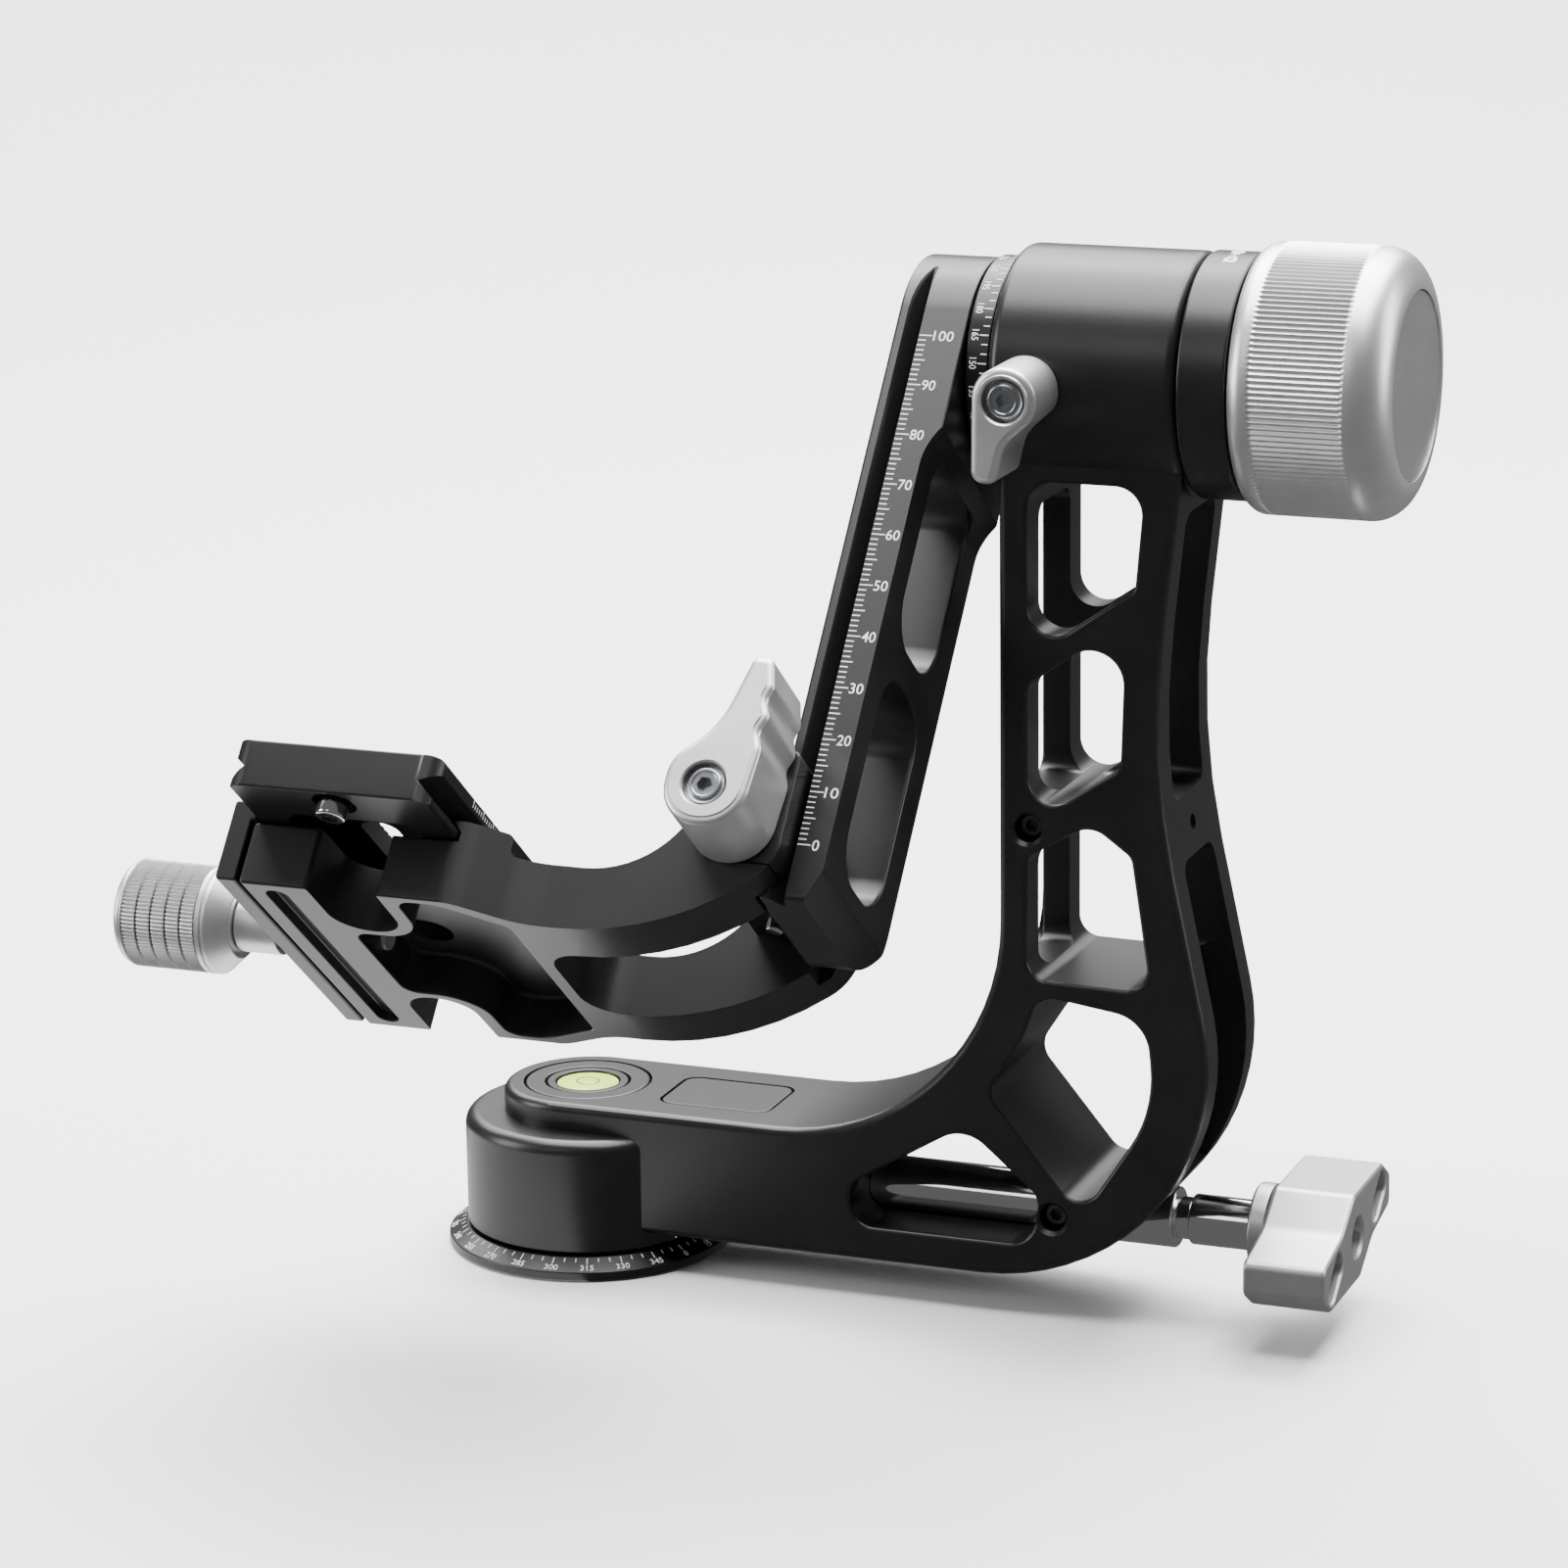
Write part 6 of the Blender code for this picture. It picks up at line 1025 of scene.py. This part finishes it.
studio = {"floorHalf": 6.0, "floorLow": -0.0003, "floorColour": (0.93, 0.93, 0.93), "floorRough": 0.9,
          "world": 0.14,
          "lights": [("overhead", (0.05, 0.15, 1.1), (0.05, 0.0, 0.05), 1.15, 1.15, 50),
                     ("left", (-0.98, -0.56, 0.42), (0.0, 0.0, 0.12), 0.5, 0.75, 9),
                     ("right", (1.05, 0.42, 0.45), (0.05, 0.0, 0.12), 0.5, 0.75, 6.5),
                     ("front", (-0.25, -1.25, 0.95), (0.05, 0.0, 0.08), 0.5, 0.4, 1.6),
                     ("under", (-0.095, -0.04, -0.0001), (-0.095, -0.0399, 1.0), 0.21, 0.15, 0.19),
                     ("behind", (-0.75, 1.9, 1.7), (-0.75, 2.0, 0.0), 3.2, 2.6, 210)]}


def makeStudio():
    half = studio["floorHalf"]
    corners = np.array([(-half, -half), (half, -half), (half, half), (-half, half)])
    mesh = bpy.data.meshes.new("floor")
    mesh.from_pydata(np.column_stack([corners, np.full(4, studio["floorLow"])]).tolist(), [], [[0, 1, 2, 3]])
    floor = linked("floor", mesh)
    paper, nodes, links, shader = newMaterial("paper")
    shader.inputs["Base Color"].default_value = (*studio["floorColour"], 1)
    shader.inputs["Roughness"].default_value = studio["floorRough"]
    mesh.materials.append(paper)
    # reflections see the dim room in place of the bright paper, as on a set with black flags
    floor.visible_glossy = False
    world = bpy.data.worlds.new("studio")
    bpy.context.scene.world = world
    world.use_nodes = True
    background = world.node_tree.nodes["Background"]
    background.inputs["Color"].default_value = (1, 1, 1, 1)
    background.inputs["Strength"].default_value = studio["world"]
    for name, place, target, width, height, power in studio["lights"]:
        light = bpy.data.lights.new(name, "AREA")
        light.shape = "RECTANGLE"
        light.size, light.size_y, light.energy = width, height, power
        lamp = linked(name, light)
        lamp.visible_camera = False
        toTarget = np.array(target) - np.array(place)
        toTarget /= np.linalg.norm(toTarget)
        side = np.cross(toTarget, [0, 0, 1])
        side /= np.linalg.norm(side)
        aim(lamp, place, side, np.cross(side, toTarget), toTarget)


makeStudio()
print("stage: studio made")
